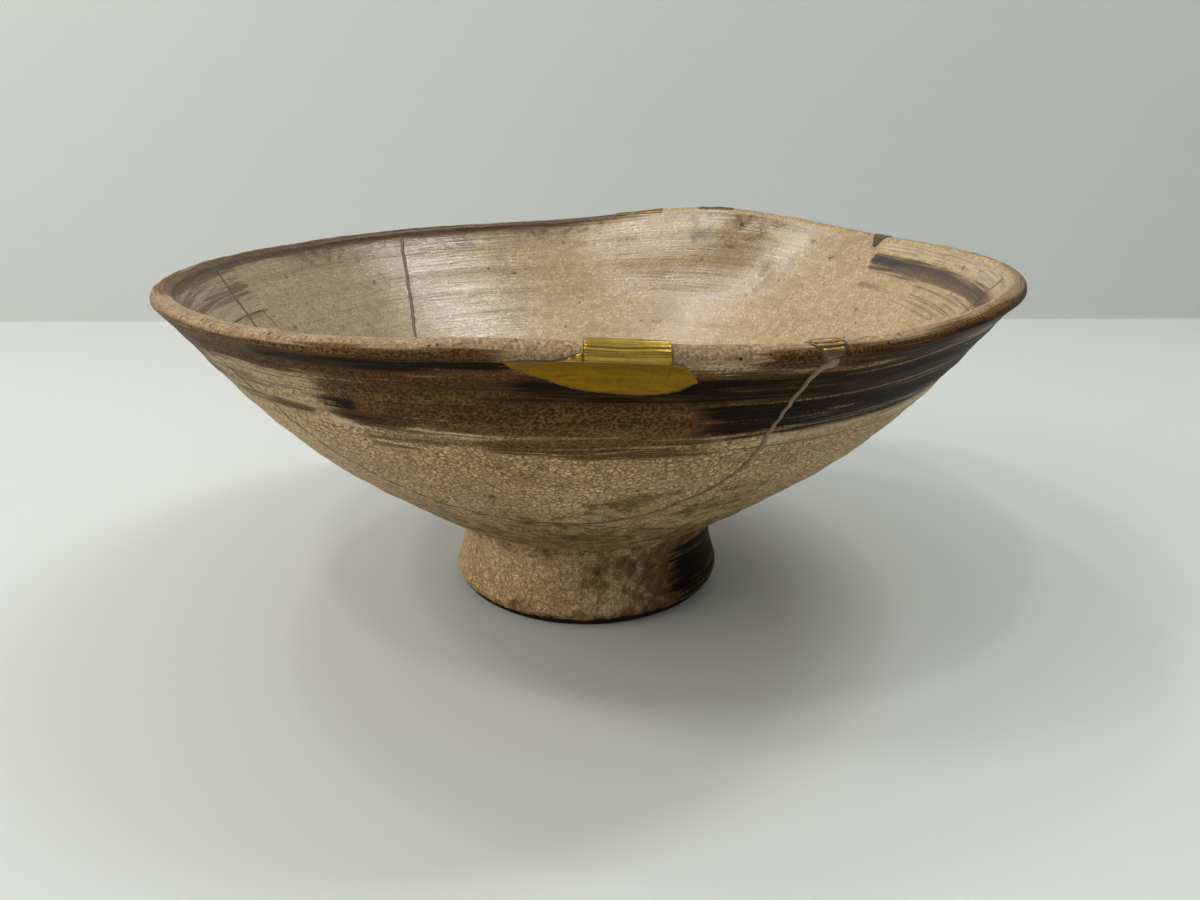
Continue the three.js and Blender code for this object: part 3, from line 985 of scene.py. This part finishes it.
@dataclass(frozen=True)
class LacquerFinish:
    """Hardened tree lacquer, mottled, with a painted highlight on its crown and painted shade towards its
    edges.
    """

    name: str
    dark: tuple
    light: tuple
    roughness: float = 0.32

    def material(self, effects: Effects) -> bpy.types.Material:
        """Builds the material from the shared node groups."""
        made, graph, shader = new_material(self.name)
        place = graph.millimetres()
        cloud = graph.effect(effects.mottle, {"Place": place, "Size": 1.6, "Contrast": 2.2}).outputs[0]
        grain = graph.effect(effects.mottle, {"Place": place, "Size": 0.3, "Contrast": 2.4}).outputs[0]
        edge = graph.attribute("edge").outputs["Fac"]
        # Lighter where the edge attribute is high, on the crown, and darker towards the edges: painted
        # highlight and painted shade over the mottling.
        share = graph.math("MULTIPLY_ADD", cloud, 0.6, graph.math("MULTIPLY", edge, 0.5), clamp=True)
        graph.feed(shader.inputs["Base Color"], graph.mix(share, self.dark, self.light))
        graph.feed(shader.inputs["Roughness"],
                   graph.spread(grain, 0.2, 0.8, self.roughness - 0.06, self.roughness + 0.12))
        bump = graph.node("Bump", {"Height": grain, "Strength": 0.4, "Distance": 0.04 * MM})
        graph.feed(shader.inputs["Normal"], bump.outputs[0])
        return made


# ------------------------------------------------------------------------------------------ pieces


def finish_piece(name: str, mesh: bmesh.types.BMesh, material: bpy.types.Material,
                 replaced: tuple[str, ...] = ()) -> bpy.types.Object:
    """Makes an object of a bmesh, dresses it and hangs it on the frame.

    Args:
        name: The piece's name.
        mesh: Its bmesh, which is freed.
        material: Its finish.
        replaced: The CAD nodes that it stands for.

    Returns:
        The object.
    """
    data = bpy.data.meshes.new(name)
    mesh.to_mesh(data)
    mesh.free()
    data.polygons.foreach_set("use_smooth", [True] * len(data.polygons))
    data.materials.append(material)
    piece = bpy.data.objects.new(name, data)
    bpy.context.scene.collection.objects.link(piece)
    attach(piece, BODY)
    if replaced:
        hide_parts(*replaced)
    LOG.info("made %s with %d faces", name, len(data.polygons))
    return piece


def write_attribute(data: bpy.types.Mesh, name: str, values: np.ndarray) -> None:
    """Stores one number or one vector for each vertex."""
    kind, key = ("FLOAT_VECTOR", "vector") if values.ndim == 2 else ("FLOAT", "value")
    made = data.attributes.get(name) or data.attributes.new(name, kind, "POINT")
    made.data.foreach_set(key, np.ascontiguousarray(values, np.float32).ravel())


@dataclass
class Clay:
    """The thrown bowl itself."""

    form: ThrownForm
    effects: Effects
    steps: int = 400
    finish: GlazeFinish = GlazeFinish()

    def spin(self) -> bmesh.types.BMesh:
        """Spins the round bowl from its outline, with each vertex's distance along it."""
        mesh = bmesh.new()
        layer = mesh.verts.layers.float.new("along")
        made = []
        for radius, height, along in zip(self.form.radii, self.form.heights, self.form.alongs):
            vertex = mesh.verts.new((0.0, -radius, height))
            vertex[layer] = along
            made.append(vertex)
        edges = [mesh.edges.new(pair) for pair in zip(made, made[1:])]
        bmesh.ops.spin(mesh, geom=made + edges, cent=(0, 0, 0), axis=(0, 0, 1), dvec=(0, 0, 0),
                       angle=2.0 * math.pi, steps=self.steps, use_merge=True, use_duplicate=False)
        poles = [vertex for vertex in mesh.verts if math.hypot(vertex.co.x, vertex.co.y) < 1e-4]
        bmesh.ops.remove_doubles(mesh, verts=poles, dist=1e-3)
        bmesh.ops.recalc_face_normals(mesh, faces=mesh.faces)
        return mesh

    def build(self) -> bpy.types.Object:
        """Makes the bowl and paints its attributes."""
        piece = finish_piece("stoneware_bowl", self.spin(), self.finish.material(self.effects, self.form),
                             ("bowl",))
        data = piece.data
        count = len(data.vertices)
        flat = np.empty(count * 3)
        data.vertices.foreach_get("co", flat)
        round_places = flat.reshape(-1, 3)
        along = np.empty(count)
        data.attributes["along"].data.foreach_get("value", along)
        azimuth = np.degrees(np.arctan2(round_places[:, 0], -round_places[:, 1]))
        data.vertices.foreach_set("co", self.form.place(azimuth, along, 0.0).ravel())
        data.update()
        self.paint(data, round_places, azimuth, along)
        return piece

    def paint(self, data: bpy.types.Mesh, places: np.ndarray, azimuth: np.ndarray,
              along: np.ndarray) -> None:
        """Paints masks for brushwork, stains, painted shade and sheen, lip, marks and bare clay.

        Args:
            data: The bowl's mesh.
            places: Its vertices on the round bowl.
            azimuth: Their azimuths.
            along: Their distances along the outline.
        """
        form = self.form
        height = places[:, 2]
        radius = np.hypot(places[:, 0], places[:, 1])
        on_side = {Side.INSIDE: (along >= form.crest).astype(float),
                   Side.OUTSIDE: ((along < form.crest) & (along > form.ring_outer)).astype(float)}
        turned = np.column_stack([places[:, 0], places[:, 1], along])
        write_attribute(data, "turned", turned)
        write_attribute(data, "inside", smooth(along, form.crest, form.lip_end))
        for name, passes in (("iron", IRON_WASH), ("dark", DARK_IRON_AND_FOOT_SHADE), ("pale", PALE_SLIP_AND_SHEEN),
                             ("stain_and_shade", STAINS_AND_SHADE)):
            clear = np.ones(len(along))
            for stroke in passes:
                clear *= 1.0 - np.clip(stroke.cover(azimuth, height) * on_side[stroke.side], 0.0, 0.98)
            write_attribute(data, name, 1.0 - clear)
        marked = np.zeros(len(along))
        for mark in MARKS:
            sideways = np.radians(turn_from(azimuth, mark.azimuth)) * radius / mark.wide
            upwards = (along - form.along_at(mark.side, mark.height)) / mark.tall
            marked = np.maximum(marked, mark.strength * np.exp(-(sideways**2 + upwards**2)))
        write_attribute(data, "mark", marked)
        lip = smooth(along, form.lip_start - 0.8, form.lip_start + 0.4)
        write_attribute(data, "lip", lip * (1.0 - smooth(along, form.crest - 0.3, form.crest + 1.0)))
        write_attribute(data, "bare", 1.0 - smooth(along, form.ring_outer + 2.2, form.ring_outer + 4.2))
        # Mask of the painted shade on the inner left, round 262 degrees.
        cool_shade = smooth(np.abs(turn_from(azimuth, 262.0)), 62.0, 24.0)
        write_attribute(data, "cool_shade", cool_shade * on_side[Side.INSIDE] * 0.8)


@dataclass
class Fill:
    """A filled chip in the rim: a thin crowned skin that follows the wall and the lip.

    Attributes:
        form: The bowl's form.
        name: The piece's name.
        lower: Its lower edge, as azimuths and millimetres along the surface from the lip's underside.
        upper: Its upper edge, in the same way.
        proud: How far it stands off the clay.
        ridges: How deep the brush ridges along the lip are.
        grown: How far its outline reaches past the points given.
        ragged: How far its edges wander.
        ridge_gap: The spacing of the brush ridges.
        lip_lift: How much further it stands off on the lip.
        edge_sunk: How far its rim lies under the clay.
        crown_width: How wide the slope up from its rim is.
        thickness: How thick the skin is.
    """

    form: ThrownForm
    name: str
    lower: Points
    upper: Points
    proud: float = 0.16
    ridges: float = 0.0
    grown: float = 0.0
    ragged: float = 0.12
    ridge_gap: float = 0.50
    lip_lift: float = 0.12
    edge_sunk: float = 0.12
    crown_width: float = 0.55
    thickness: float = 0.7

    def edge(self, points: Points, azimuth: np.ndarray, sign: float) -> np.ndarray:
        """Gives one edge at each azimuth, slightly ragged.

        Args:
            points: The edge's points.
            azimuth: The azimuths.
            sign: 1 for the upper edge and -1 for the lower one.

        Returns:
            The edge's rise from the lip's underside at each azimuth.
        """
        xs, ys = zip(*points)
        wander = np.array([noise.noise(Vector((a * 1.7, sign * 9.0, len(self.name)))) for a in azimuth])
        return np.interp(azimuth, xs, ys) + sign * self.grown + self.ragged * wander

    def build(self, material: bpy.types.Material, slot: str, replaced: tuple[str, ...] = (),
              columns: int = 150, rows: int = 44) -> bpy.types.Object:
        """Makes the skin.

        Args:
            material: Its finish.
            slot: The record's material slot; not used.
            replaced: The CAD nodes that it stands for.
            columns: Its steps along the rim.
            rows: Its steps across.

        Returns:
            The object.
        """
        mesh = bmesh.new()
        bmesh.ops.create_grid(mesh, x_segments=columns, y_segments=rows, size=1.0)
        mesh.verts.ensure_lookup_table()
        shares = np.array([(vertex.co.x, vertex.co.y) for vertex in mesh.verts]) / 2.0 + 0.5
        widen = math.degrees(self.grown / self.form.lip_radius)
        start, end = self.lower[0][0] - widen, self.lower[-1][0] + widen
        azimuth = start + (end - start) * shares[:, 0]
        low, high = self.edge(self.lower, azimuth, -1.0), self.edge(self.upper, azimuth, 1.0)
        high = np.maximum(high, low + 0.02)
        rise = low + (high - low) * shares[:, 1]
        flat = np.column_stack([np.radians(azimuth) * self.form.lip_radius, rise])
        rim = np.any((shares < 1e-4) | (shares > 0.9999), axis=1)
        border = flat[rim]
        distance = np.array([np.min(np.hypot(*(border - point).T)) for point in flat])
        crown = 1.0 - (1.0 - np.clip(distance / self.crown_width, 0.0, 1.0)) ** 2
        lift = -self.edge_sunk + (self.proud + self.edge_sunk) * crown
        along = self.form.lip_start + rise
        on_lip = smooth(rise, 1.0, 1.3) * smooth(distance, 0.05, 0.3)
        ridge_turn = rise * 2.0 * math.pi / self.ridge_gap + 0.5 * np.sin(np.radians(azimuth) * 40.0)
        lift += on_lip * (self.lip_lift + self.ridges * np.sin(ridge_turn))
        places = self.form.place(azimuth, along, lift)
        for vertex, spot in zip(mesh.verts, places):
            vertex.co = spot
        bmesh.ops.recalc_face_normals(mesh, faces=mesh.faces)
        out = sum((face.normal * face.calc_area() for face in mesh.faces), Vector())
        facing = math.radians(azimuth.mean())
        middle = Vector((math.sin(facing), -math.cos(facing), 0.6))
        if out.dot(middle) < 0.0:
            bmesh.ops.reverse_faces(mesh, faces=mesh.faces)
        piece = finish_piece(self.name, mesh, material, replaced)
        turn = np.radians(azimuth)
        write_attribute(piece.data, "turned", np.column_stack([
            self.form.lip_radius * np.sin(turn), -self.form.lip_radius * np.cos(turn), along]))
        # The edge attribute rises from 0 at the rim to 1 inside; the lacquer paints shade by it towards the
        # rim.
        write_attribute(piece.data, "edge", crown)
        write_attribute(piece.data, "lip", smooth(rise, 1.0, 1.4))
        thick = piece.modifiers.new("thickness", "SOLIDIFY")
        thick.thickness, thick.offset = self.thickness * MM, -1.0
        return piece


@dataclass
class Bead:
    """A line of lacquer along a break, standing a little off the clay.

    Attributes:
        form: The bowl's form.
        name: The piece's name.
        side: The face of the wall that it is on.
        route: Its points, as azimuths and heights.
        widths: Its widths, as distances from its start and widths there.
        proud: How far it stands off the clay.
        sunk: How far its lower half reaches into the clay.
        sides: The number of sides of its section.
        wander: How far its route wanders, in degrees.
    """

    form: ThrownForm
    name: str
    side: Side
    route: Points
    widths: Points
    proud: float
    sunk: float = 0.3
    sides: int = 10
    wander: float = 0.25

    def stations(self) -> tuple[np.ndarray, np.ndarray]:
        """Gives the azimuths and distances along the outline of its stations."""
        scale = 1.1
        flat = [(azimuth * scale, self.form.along_at(self.side, height)) for azimuth, height in self.route]
        line = catmull_rom(flat, 0.45)
        shift = np.array([noise.noise(Vector((x * 0.6, y * 0.6, len(self.route)))) for x, y in line])
        return line[:, 0] / scale + shift * self.wander, line[:, 1]

    def build(self, material: bpy.types.Material, slot: str,
              replaced: tuple[str, ...] = ()) -> bpy.types.Object:
        """Sweeps the bead.

        Args:
            material: Its finish.
            slot: The record's material slot; not used.
            replaced: The CAD nodes that it stands for.

        Returns:
            The object.
        """
        azimuth, along = self.stations()
        centre = self.form.place(azimuth, along, 0.0)
        above = self.form.place(azimuth, along, 1.0)
        normal = (above - centre) / MM
        forward = np.gradient(centre, axis=0)
        sideways = np.cross(forward, normal)
        sideways /= np.linalg.norm(sideways, axis=1)[:, None]
        travelled = np.concatenate([[0.0], np.cumsum(np.linalg.norm(np.diff(centre, axis=0), axis=1))]) / MM
        width = np.interp(travelled, *zip(*self.widths))
        width *= 1.0 + 0.22 * np.array([noise.noise(Vector((gone * 0.7, 1.0, 5.0))) for gone in travelled])
        taper = smooth(np.minimum(travelled, travelled[-1] - travelled), -0.4, 1.1)
        angles = np.linspace(0.0, 2.0 * math.pi, self.sides, endpoint=False)
        mesh = bmesh.new()
        ring = bmesh.ops.create_circle(mesh, cap_ends=True, segments=self.sides, radius=1.0)["verts"]
        face = mesh.faces[:][0]
        crowns: list[float] = []
        for index in range(len(azimuth)):
            if index:
                made = bmesh.ops.extrude_face_region(mesh, geom=[face])["geom"]
                old = face
                face = next(item for item in made if isinstance(item, bmesh.types.BMFace))
                ring = list(face.verts)
                if index > 1:
                    bmesh.ops.delete(mesh, geom=[old], context="FACES_ONLY")
            for vertex, angle in zip(ring, angles):
                up = math.sin(angle)
                reach = self.proud if up > 0.0 else self.sunk
                aside = math.cos(angle) * width[index] / 2.0
                vertex.co = (centre[index] + sideways[index] * (aside * MM * taper[index])
                             + normal[index] * (up * reach * MM * taper[index]))
                crowns.append(max(0.0, up))
        bmesh.ops.recalc_face_normals(mesh, faces=mesh.faces)
        piece = finish_piece(self.name, mesh, material, replaced)
        # The edge attribute is high on the bead's crown; the lacquer paints a highlight there and shade on
        # its flanks.
        write_attribute(piece.data, "edge", np.array(crowns))
        return piece


# ------------------------------------------------------------------------------------- the mending


@dataclass
class Mending:
    """Every fill, seam and hairline that holds the bowl together."""

    form: ThrownForm
    effects: Effects

    def build(self) -> list[bpy.types.Object]:
        """Makes the fills, then the raised seams, then the flush hairlines."""
        gold = GoldFinish("burnished gold").material(self.effects)
        old_gold = GoldFinish("worn gold", gold=rgb(0.12, 0.075, 0.012), bright=rgb(0.26, 0.170, 0.035),
                              wear=0.46).material(self.effects)
        tan = LacquerFinish("tan lacquer", rgb(0.055, 0.030, 0.010), rgb(0.25, 0.155, 0.060))
        brown = LacquerFinish("brown lacquer", rgb(0.060, 0.032, 0.012), rgb(0.16, 0.095, 0.038))
        black = LacquerFinish("dark lacquer", rgb(0.018, 0.014, 0.008), rgb(0.075, 0.058, 0.028))
        tan_skin, brown_skin, black_skin = (coat.material(self.effects) for coat in (tan, brown, black))
        pieces = self.fills(gold, old_gold, black_skin)
        pieces += self.seams(tan_skin, brown_skin)
        pieces += self.hairlines(black_skin)
        return pieces

    def fills(self, gold: bpy.types.Material, old_gold: bpy.types.Material,
              black: bpy.types.Material) -> list[bpy.types.Object]:
        """Makes the filled chips round the rim.

        Args:
            gold: The finish of the large fill.
            old_gold: The finish of the worn fills.
            black: The dark lacquer.

        Returns:
            The fills.
        """
        lower = [(-7.95, 0.6), (-7.3, -0.65), (-5.4, -1.9), (-3.8, -2.8), (-2.2, -3.6), (-0.6, -4.1),
                 (0.95, -4.4), (2.6, -4.6), (4.1, -4.65), (5.7, -4.5), (7.3, -4.1), (8.4, -3.5), (9.5, -2.5)]
        upper = [(-7.95, 0.75), (-6.5, 0.95), (-4.6, 1.0), (-3.3, 1.05), (-2.4, 1.7), (-1.9, 2.1),
                 (-1.0, 2.7), (-0.8, 5.6), (6.5, 5.6), (6.6, 1.2), (7.6, 0.8),
                 (8.4, 0.0), (9.0, -1.3), (9.5, -2.35)]
        corner_low = [(19.5, 3.6), (20.3, 2.3), (21.1, 1.0), (21.7, 1.7), (22.7, 2.2), (23.1, 3.0)]
        corner_high = [(19.5, 5.0), (23.1, 5.2)]
        side_low = [(113.9, 2.3), (117.6, 2.3)]
        side_high = [(113.9, 4.8), (115.6, 8.2), (116.4, 8.0), (117.6, 4.9)]
        return [
            Fill(self.form, "front_fill_edge", lower, upper, proud=0.05, grown=0.22).build(
                black, "dark_lacquer"),
            Fill(self.form, "front_gold_fill", lower, upper, ridges=0.08).build(
                gold, "gold", ("gold_rim_fill",), columns=170, rows=96),
            Fill(self.form, "corner_fill_edge", corner_low, corner_high, proud=0.05, grown=0.3).build(
                black, "dark_lacquer", columns=60),
            Fill(self.form, "corner_gold_fill", corner_low, corner_high, ridges=0.06).build(
                old_gold, "gold", ("gold_corner_fill",), columns=60, rows=60),
            Fill(self.form, "back_gold_fill", [(163.6, 1.9), (174.4, 2.2)], [(163.6, 6.3), (174.4, 5.9)],
                 proud=0.1).build(old_gold, "gold", ("back_rim_fill",), columns=90),
            Fill(self.form, "dark_fill_over_dent", [(147.4, 2.4), (155.4, 2.6)],
                 [(147.4, 5.6), (155.4, 5.8)], proud=0.08).build(
                black, "dark_lacquer", ("dark_rim_fill",), columns=80),
            Fill(self.form, "dark_fill_right", side_low, side_high, proud=0.08).build(
                black, "dark_lacquer", ("side_rim_fill",), columns=50),
        ]

    def seams(self, tan: bpy.types.Material, brown: bpy.types.Material) -> list[bpy.types.Object]:
        """Makes the raised seams.

        Args:
            tan: The finish of the outer seam.
            brown: The finish of the inner ones.

        Returns:
            The seams.
        """
        front = [(22.3, 61.2), (21.3, 59.9), (20.6, 57.8), (20.2, 55), (20.1, 50.5), (20.3, 45.5),
                 (19.9, 41.8), (18, 38.6), (15, 36), (12, 33.9), (8, 31.9), (4, 30.9), (0, 30.2), (-5, 29.9)]
        back = [(220.4, 62.0), (220.8, 60.2), (221.8, 56.5), (223.2, 51.5), (225.1, 46.5), (227.8, 41.5),
                (230, 35), (233, 29)]
        left = [(267.6, 62.0), (268, 59.6), (268.8, 56.6), (270, 53), (271.5, 49.5), (275, 43), (283, 36),
                (296, 29)]
        return [
            Bead(self.form, "front_seam_bead", Side.OUTSIDE, front,
                 [(0, 2.4), (1.0, 2.1), (2.2, 1.3), (4.2, 0.75), (7, 0.6), (12, 0.6), (16, 0.74), (22, 0.66),
                  (30, 0.5), (45, 0.4), (60, 0.34)], 0.26).build(tan, "lacquer", ("front_seam",)),
            Bead(self.form, "back_inner_seam_bead", Side.INSIDE, back,
                 [(0, 0.6), (3, 0.85), (20, 0.9), (34, 0.7), (50, 0.5)], 0.24).build(
                brown, "lacquer", ("back_inner_seam",)),
            Bead(self.form, "left_inner_seam_bead", Side.INSIDE, left,
                 [(0, 0.7), (10, 0.8), (24, 0.6), (50, 0.5)], 0.12).build(
                brown, "lacquer", ("left_inner_seam",)),
        ]

    def hairlines(self, skin: bpy.types.Material) -> list[bpy.types.Object]:
        """Makes the flush cracks, as thin dark lines that hardly stand off the glaze.

        Args:
            skin: Their finish.

        Returns:
            The cracks.
        """
        outside, inside = Side.OUTSIDE, Side.INSIDE
        rows = [
            ("front_left_crack", outside, [(-4, 29.9), (-10, 30), (-15, 30.3), (-20, 31.3), (-25, 33.5),
                                           (-29, 35.4), (-33, 38), (-37, 41.7), (-40, 45.3), (-41.6, 48.9),
                                           (-43, 51.2), (-44.6, 53.5), (-46, 56.2), (-47.6, 58.5),
                                           (-49, 60.4)], [(0, 0.34), (12, 0.4), (30, 0.28), (70, 0.36)]),
            ("front_low_crack", outside, [(-1, 29.8), (3, 29), (8, 27.4), (12, 26.8), (20, 25.6), (30, 25.2)],
             [(0, 0.3), (24, 0.14)]),
            ("front_short_crack", outside, [(-14, 30.3), (-14.3, 31.6), (-14.1, 33.2)],
             [(0, 0.24), (3, 0.1)]),
            ("front_left_low_crack", outside, [(-25.5, 32.8), (-29, 31.0), (-33, 30.1), (-38, 29.6)],
             [(0, 0.24), (9, 0.12)]),
            ("right_inner_crack", inside, [(70.5, 62.4), (71.5, 61), (73.3, 59.6), (74.5, 57), (75.5, 54.2),
                                           (77, 50), (82, 43)], [(0, 0.3), (6, 0.36), (30, 0.15)]),
            ("left_cross_crack", inside, [(277, 53.4), (271, 53.3), (264.5, 53.1)], [(0, 0.3), (14, 0.3)]),
            ("left_short_crack", inside, [(264.4, 53.1), (264.2, 51), (264, 48.5)], [(0, 0.34), (7, 0.2)]),
            ("front_inner_crack", inside, [(20.9, 61.6), (20.4, 56), (20.4, 50), (20.2, 43), (17, 37),
                                           (8, 31), (-4, 28.6), (-16, 29.5), (-27, 34), (-36, 41),
                                           (-41, 48), (-45, 55), (-48.6, 61.2)], [(0, 0.45), (40, 0.36)]),
        ]
        return [Bead(self.form, name, side, route, widths, 0.05, 0.08, 6).build(skin, "dark_lacquer")
                for name, side, route, widths in rows]


# ------------------------------------------------------------------------------------------ studio


@dataclass
class Studio:
    """A pale floor that turns up into a wall behind, soft lights and the camera."""

    wall_distance: float = 0.2785
    sweep: float = 0.0015
    reach: float = 1.2
    wall_height: float = 0.9
    eye: tuple[float, float, float] = (-0.0009, -0.1667, 0.0827)
    pitch: float = 18.92
    yaw: float = 0.96
    lens: float = 25.98
    zenith: float = 0.80
    horizon: float = 0.17

    def build(self) -> None:
        """Makes the floor, lights, world and camera."""
        self.floor()
        self.lights()
        self.camera()

    def floor(self) -> None:
        """Makes the floor and the wall behind as one sheet."""
        mesh = bmesh.new()
        bends = [(-self.reach, 0.0), (self.wall_distance - self.sweep, 0.0)]
        for step in range(1, 9):
            angle = math.radians(90.0 * step / 8.0)
            bends.append((self.wall_distance - self.sweep + self.sweep * math.sin(angle),
                          self.sweep * (1.0 - math.cos(angle))))
        bends.append((self.wall_distance, self.wall_height))
        line = [mesh.verts.new((-self.reach, y, z)) for y, z in bends]
        edges = [mesh.edges.new(pair) for pair in zip(line, line[1:])]
        grown = bmesh.ops.extrude_edge_only(mesh, edges=edges)["geom"]
        moved = [item for item in grown if isinstance(item, bmesh.types.BMVert)]
        bmesh.ops.translate(mesh, verts=moved, vec=(2.0 * self.reach, 0.0, 0.0))
        bmesh.ops.recalc_face_normals(mesh, faces=mesh.faces)
        if mesh.faces[:][0].normal.z < 0.0:
            bmesh.ops.reverse_faces(mesh, faces=mesh.faces)
        data = bpy.data.meshes.new("floor")
        mesh.to_mesh(data)
        mesh.free()
        data.polygons.foreach_set("use_smooth", [True] * len(data.polygons))
        made, _, shader = new_material("pale floor")
        shader.inputs["Base Color"].default_value = rgb(0.60, 0.615, 0.585)
        shader.inputs["Roughness"].default_value = 0.55
        data.materials.append(made)
        piece = bpy.data.objects.new("floor", data)
        bpy.context.scene.collection.objects.link(piece)

    def lamp(self, name: str, place: tuple[float, float, float], size: tuple[float, float],
             watts: float, colour: tuple[float, float, float]) -> None:
        """Hangs one soft area light that looks at the bowl.

        Args:
            name: Its name.
            place: Where it hangs.
            size: Its width and height.
            watts: Its power.
            colour: Its colour.
        """
        data = bpy.data.lights.new(name, "AREA")
        data.shape, data.size, data.size_y = "RECTANGLE", *size
        data.energy, data.color = watts, colour
        piece = bpy.data.objects.new(name, data)
        piece.location = place
        aim = Vector((0.0, 0.0, 0.04)) - Vector(place)
        piece.rotation_euler = aim.to_track_quat("-Z", "Y").to_euler()
        bpy.context.scene.collection.objects.link(piece)

    def lights(self) -> None:
        """Hangs the lights and sets a dim, even world."""
        self.lamp("window_left", (-0.75, -0.25, 0.50), (0.7, 0.5), 3.6, (1.0, 0.99, 0.97))
        self.lamp("lamp_before", (-0.23, -0.35, 0.80), (0.07, 0.07), 0.8, (1.0, 0.99, 0.97))
        self.lamp("lamp_over_dent", (-0.51, -0.22, 0.80), (0.11, 0.09), 1.3, (1.0, 0.99, 0.97))
        self.lamp("lamp_beside", (-0.29, 0.08, 0.80), (0.05, 0.07), 0.5, (1.0, 0.99, 0.97))
        self.lamp("window_right", (0.37, 0.08, 0.80), (0.11, 0.28), 2.0, (0.97, 0.99, 1.0))
        world = bpy.data.worlds.new("room")
        world.use_nodes = True
        graph = Graph(world.node_tree)
        upward = graph.node("SeparateXYZ", {0: graph.node("TexCoord").outputs["Generated"]}).outputs[2]
        glow = graph.math("POWER", graph.math("MAXIMUM", upward, 0.0), 2.0)
        sky = world.node_tree.nodes["Background"]
        sky.inputs["Color"].default_value = rgb(0.95, 0.98, 1.0)
        graph.feed(sky.inputs["Strength"], graph.math("MULTIPLY_ADD", glow, self.zenith - self.horizon,
                                                      self.horizon))
        bpy.context.scene.world = world
        bpy.context.scene.view_settings.view_transform = "Standard"

    def camera(self) -> None:
        """Sets the camera up."""
        data = bpy.data.cameras.new("camera")
        data.lens = self.lens
        data.clip_start, data.clip_end = 0.01, 10.0
        piece = bpy.data.objects.new("camera", data)
        piece.location = self.eye
        piece.rotation_euler = (math.radians(90.0 - self.pitch), 0.0, -math.radians(self.yaw))
        bpy.context.scene.collection.objects.link(piece)
        bpy.context.scene.camera = piece


def main() -> None:
    """Builds the bowl, its mending and the studio, in that order."""
    logging.basicConfig(level=logging.INFO, format="%(name)s: %(message)s")
    form = ThrownForm()
    effects = Effects()
    Clay(form, effects).build()
    Mending(form, effects).build()
    Studio().build()
    bpy.context.view_layer.update()


if __name__ == "__main__":
    main()
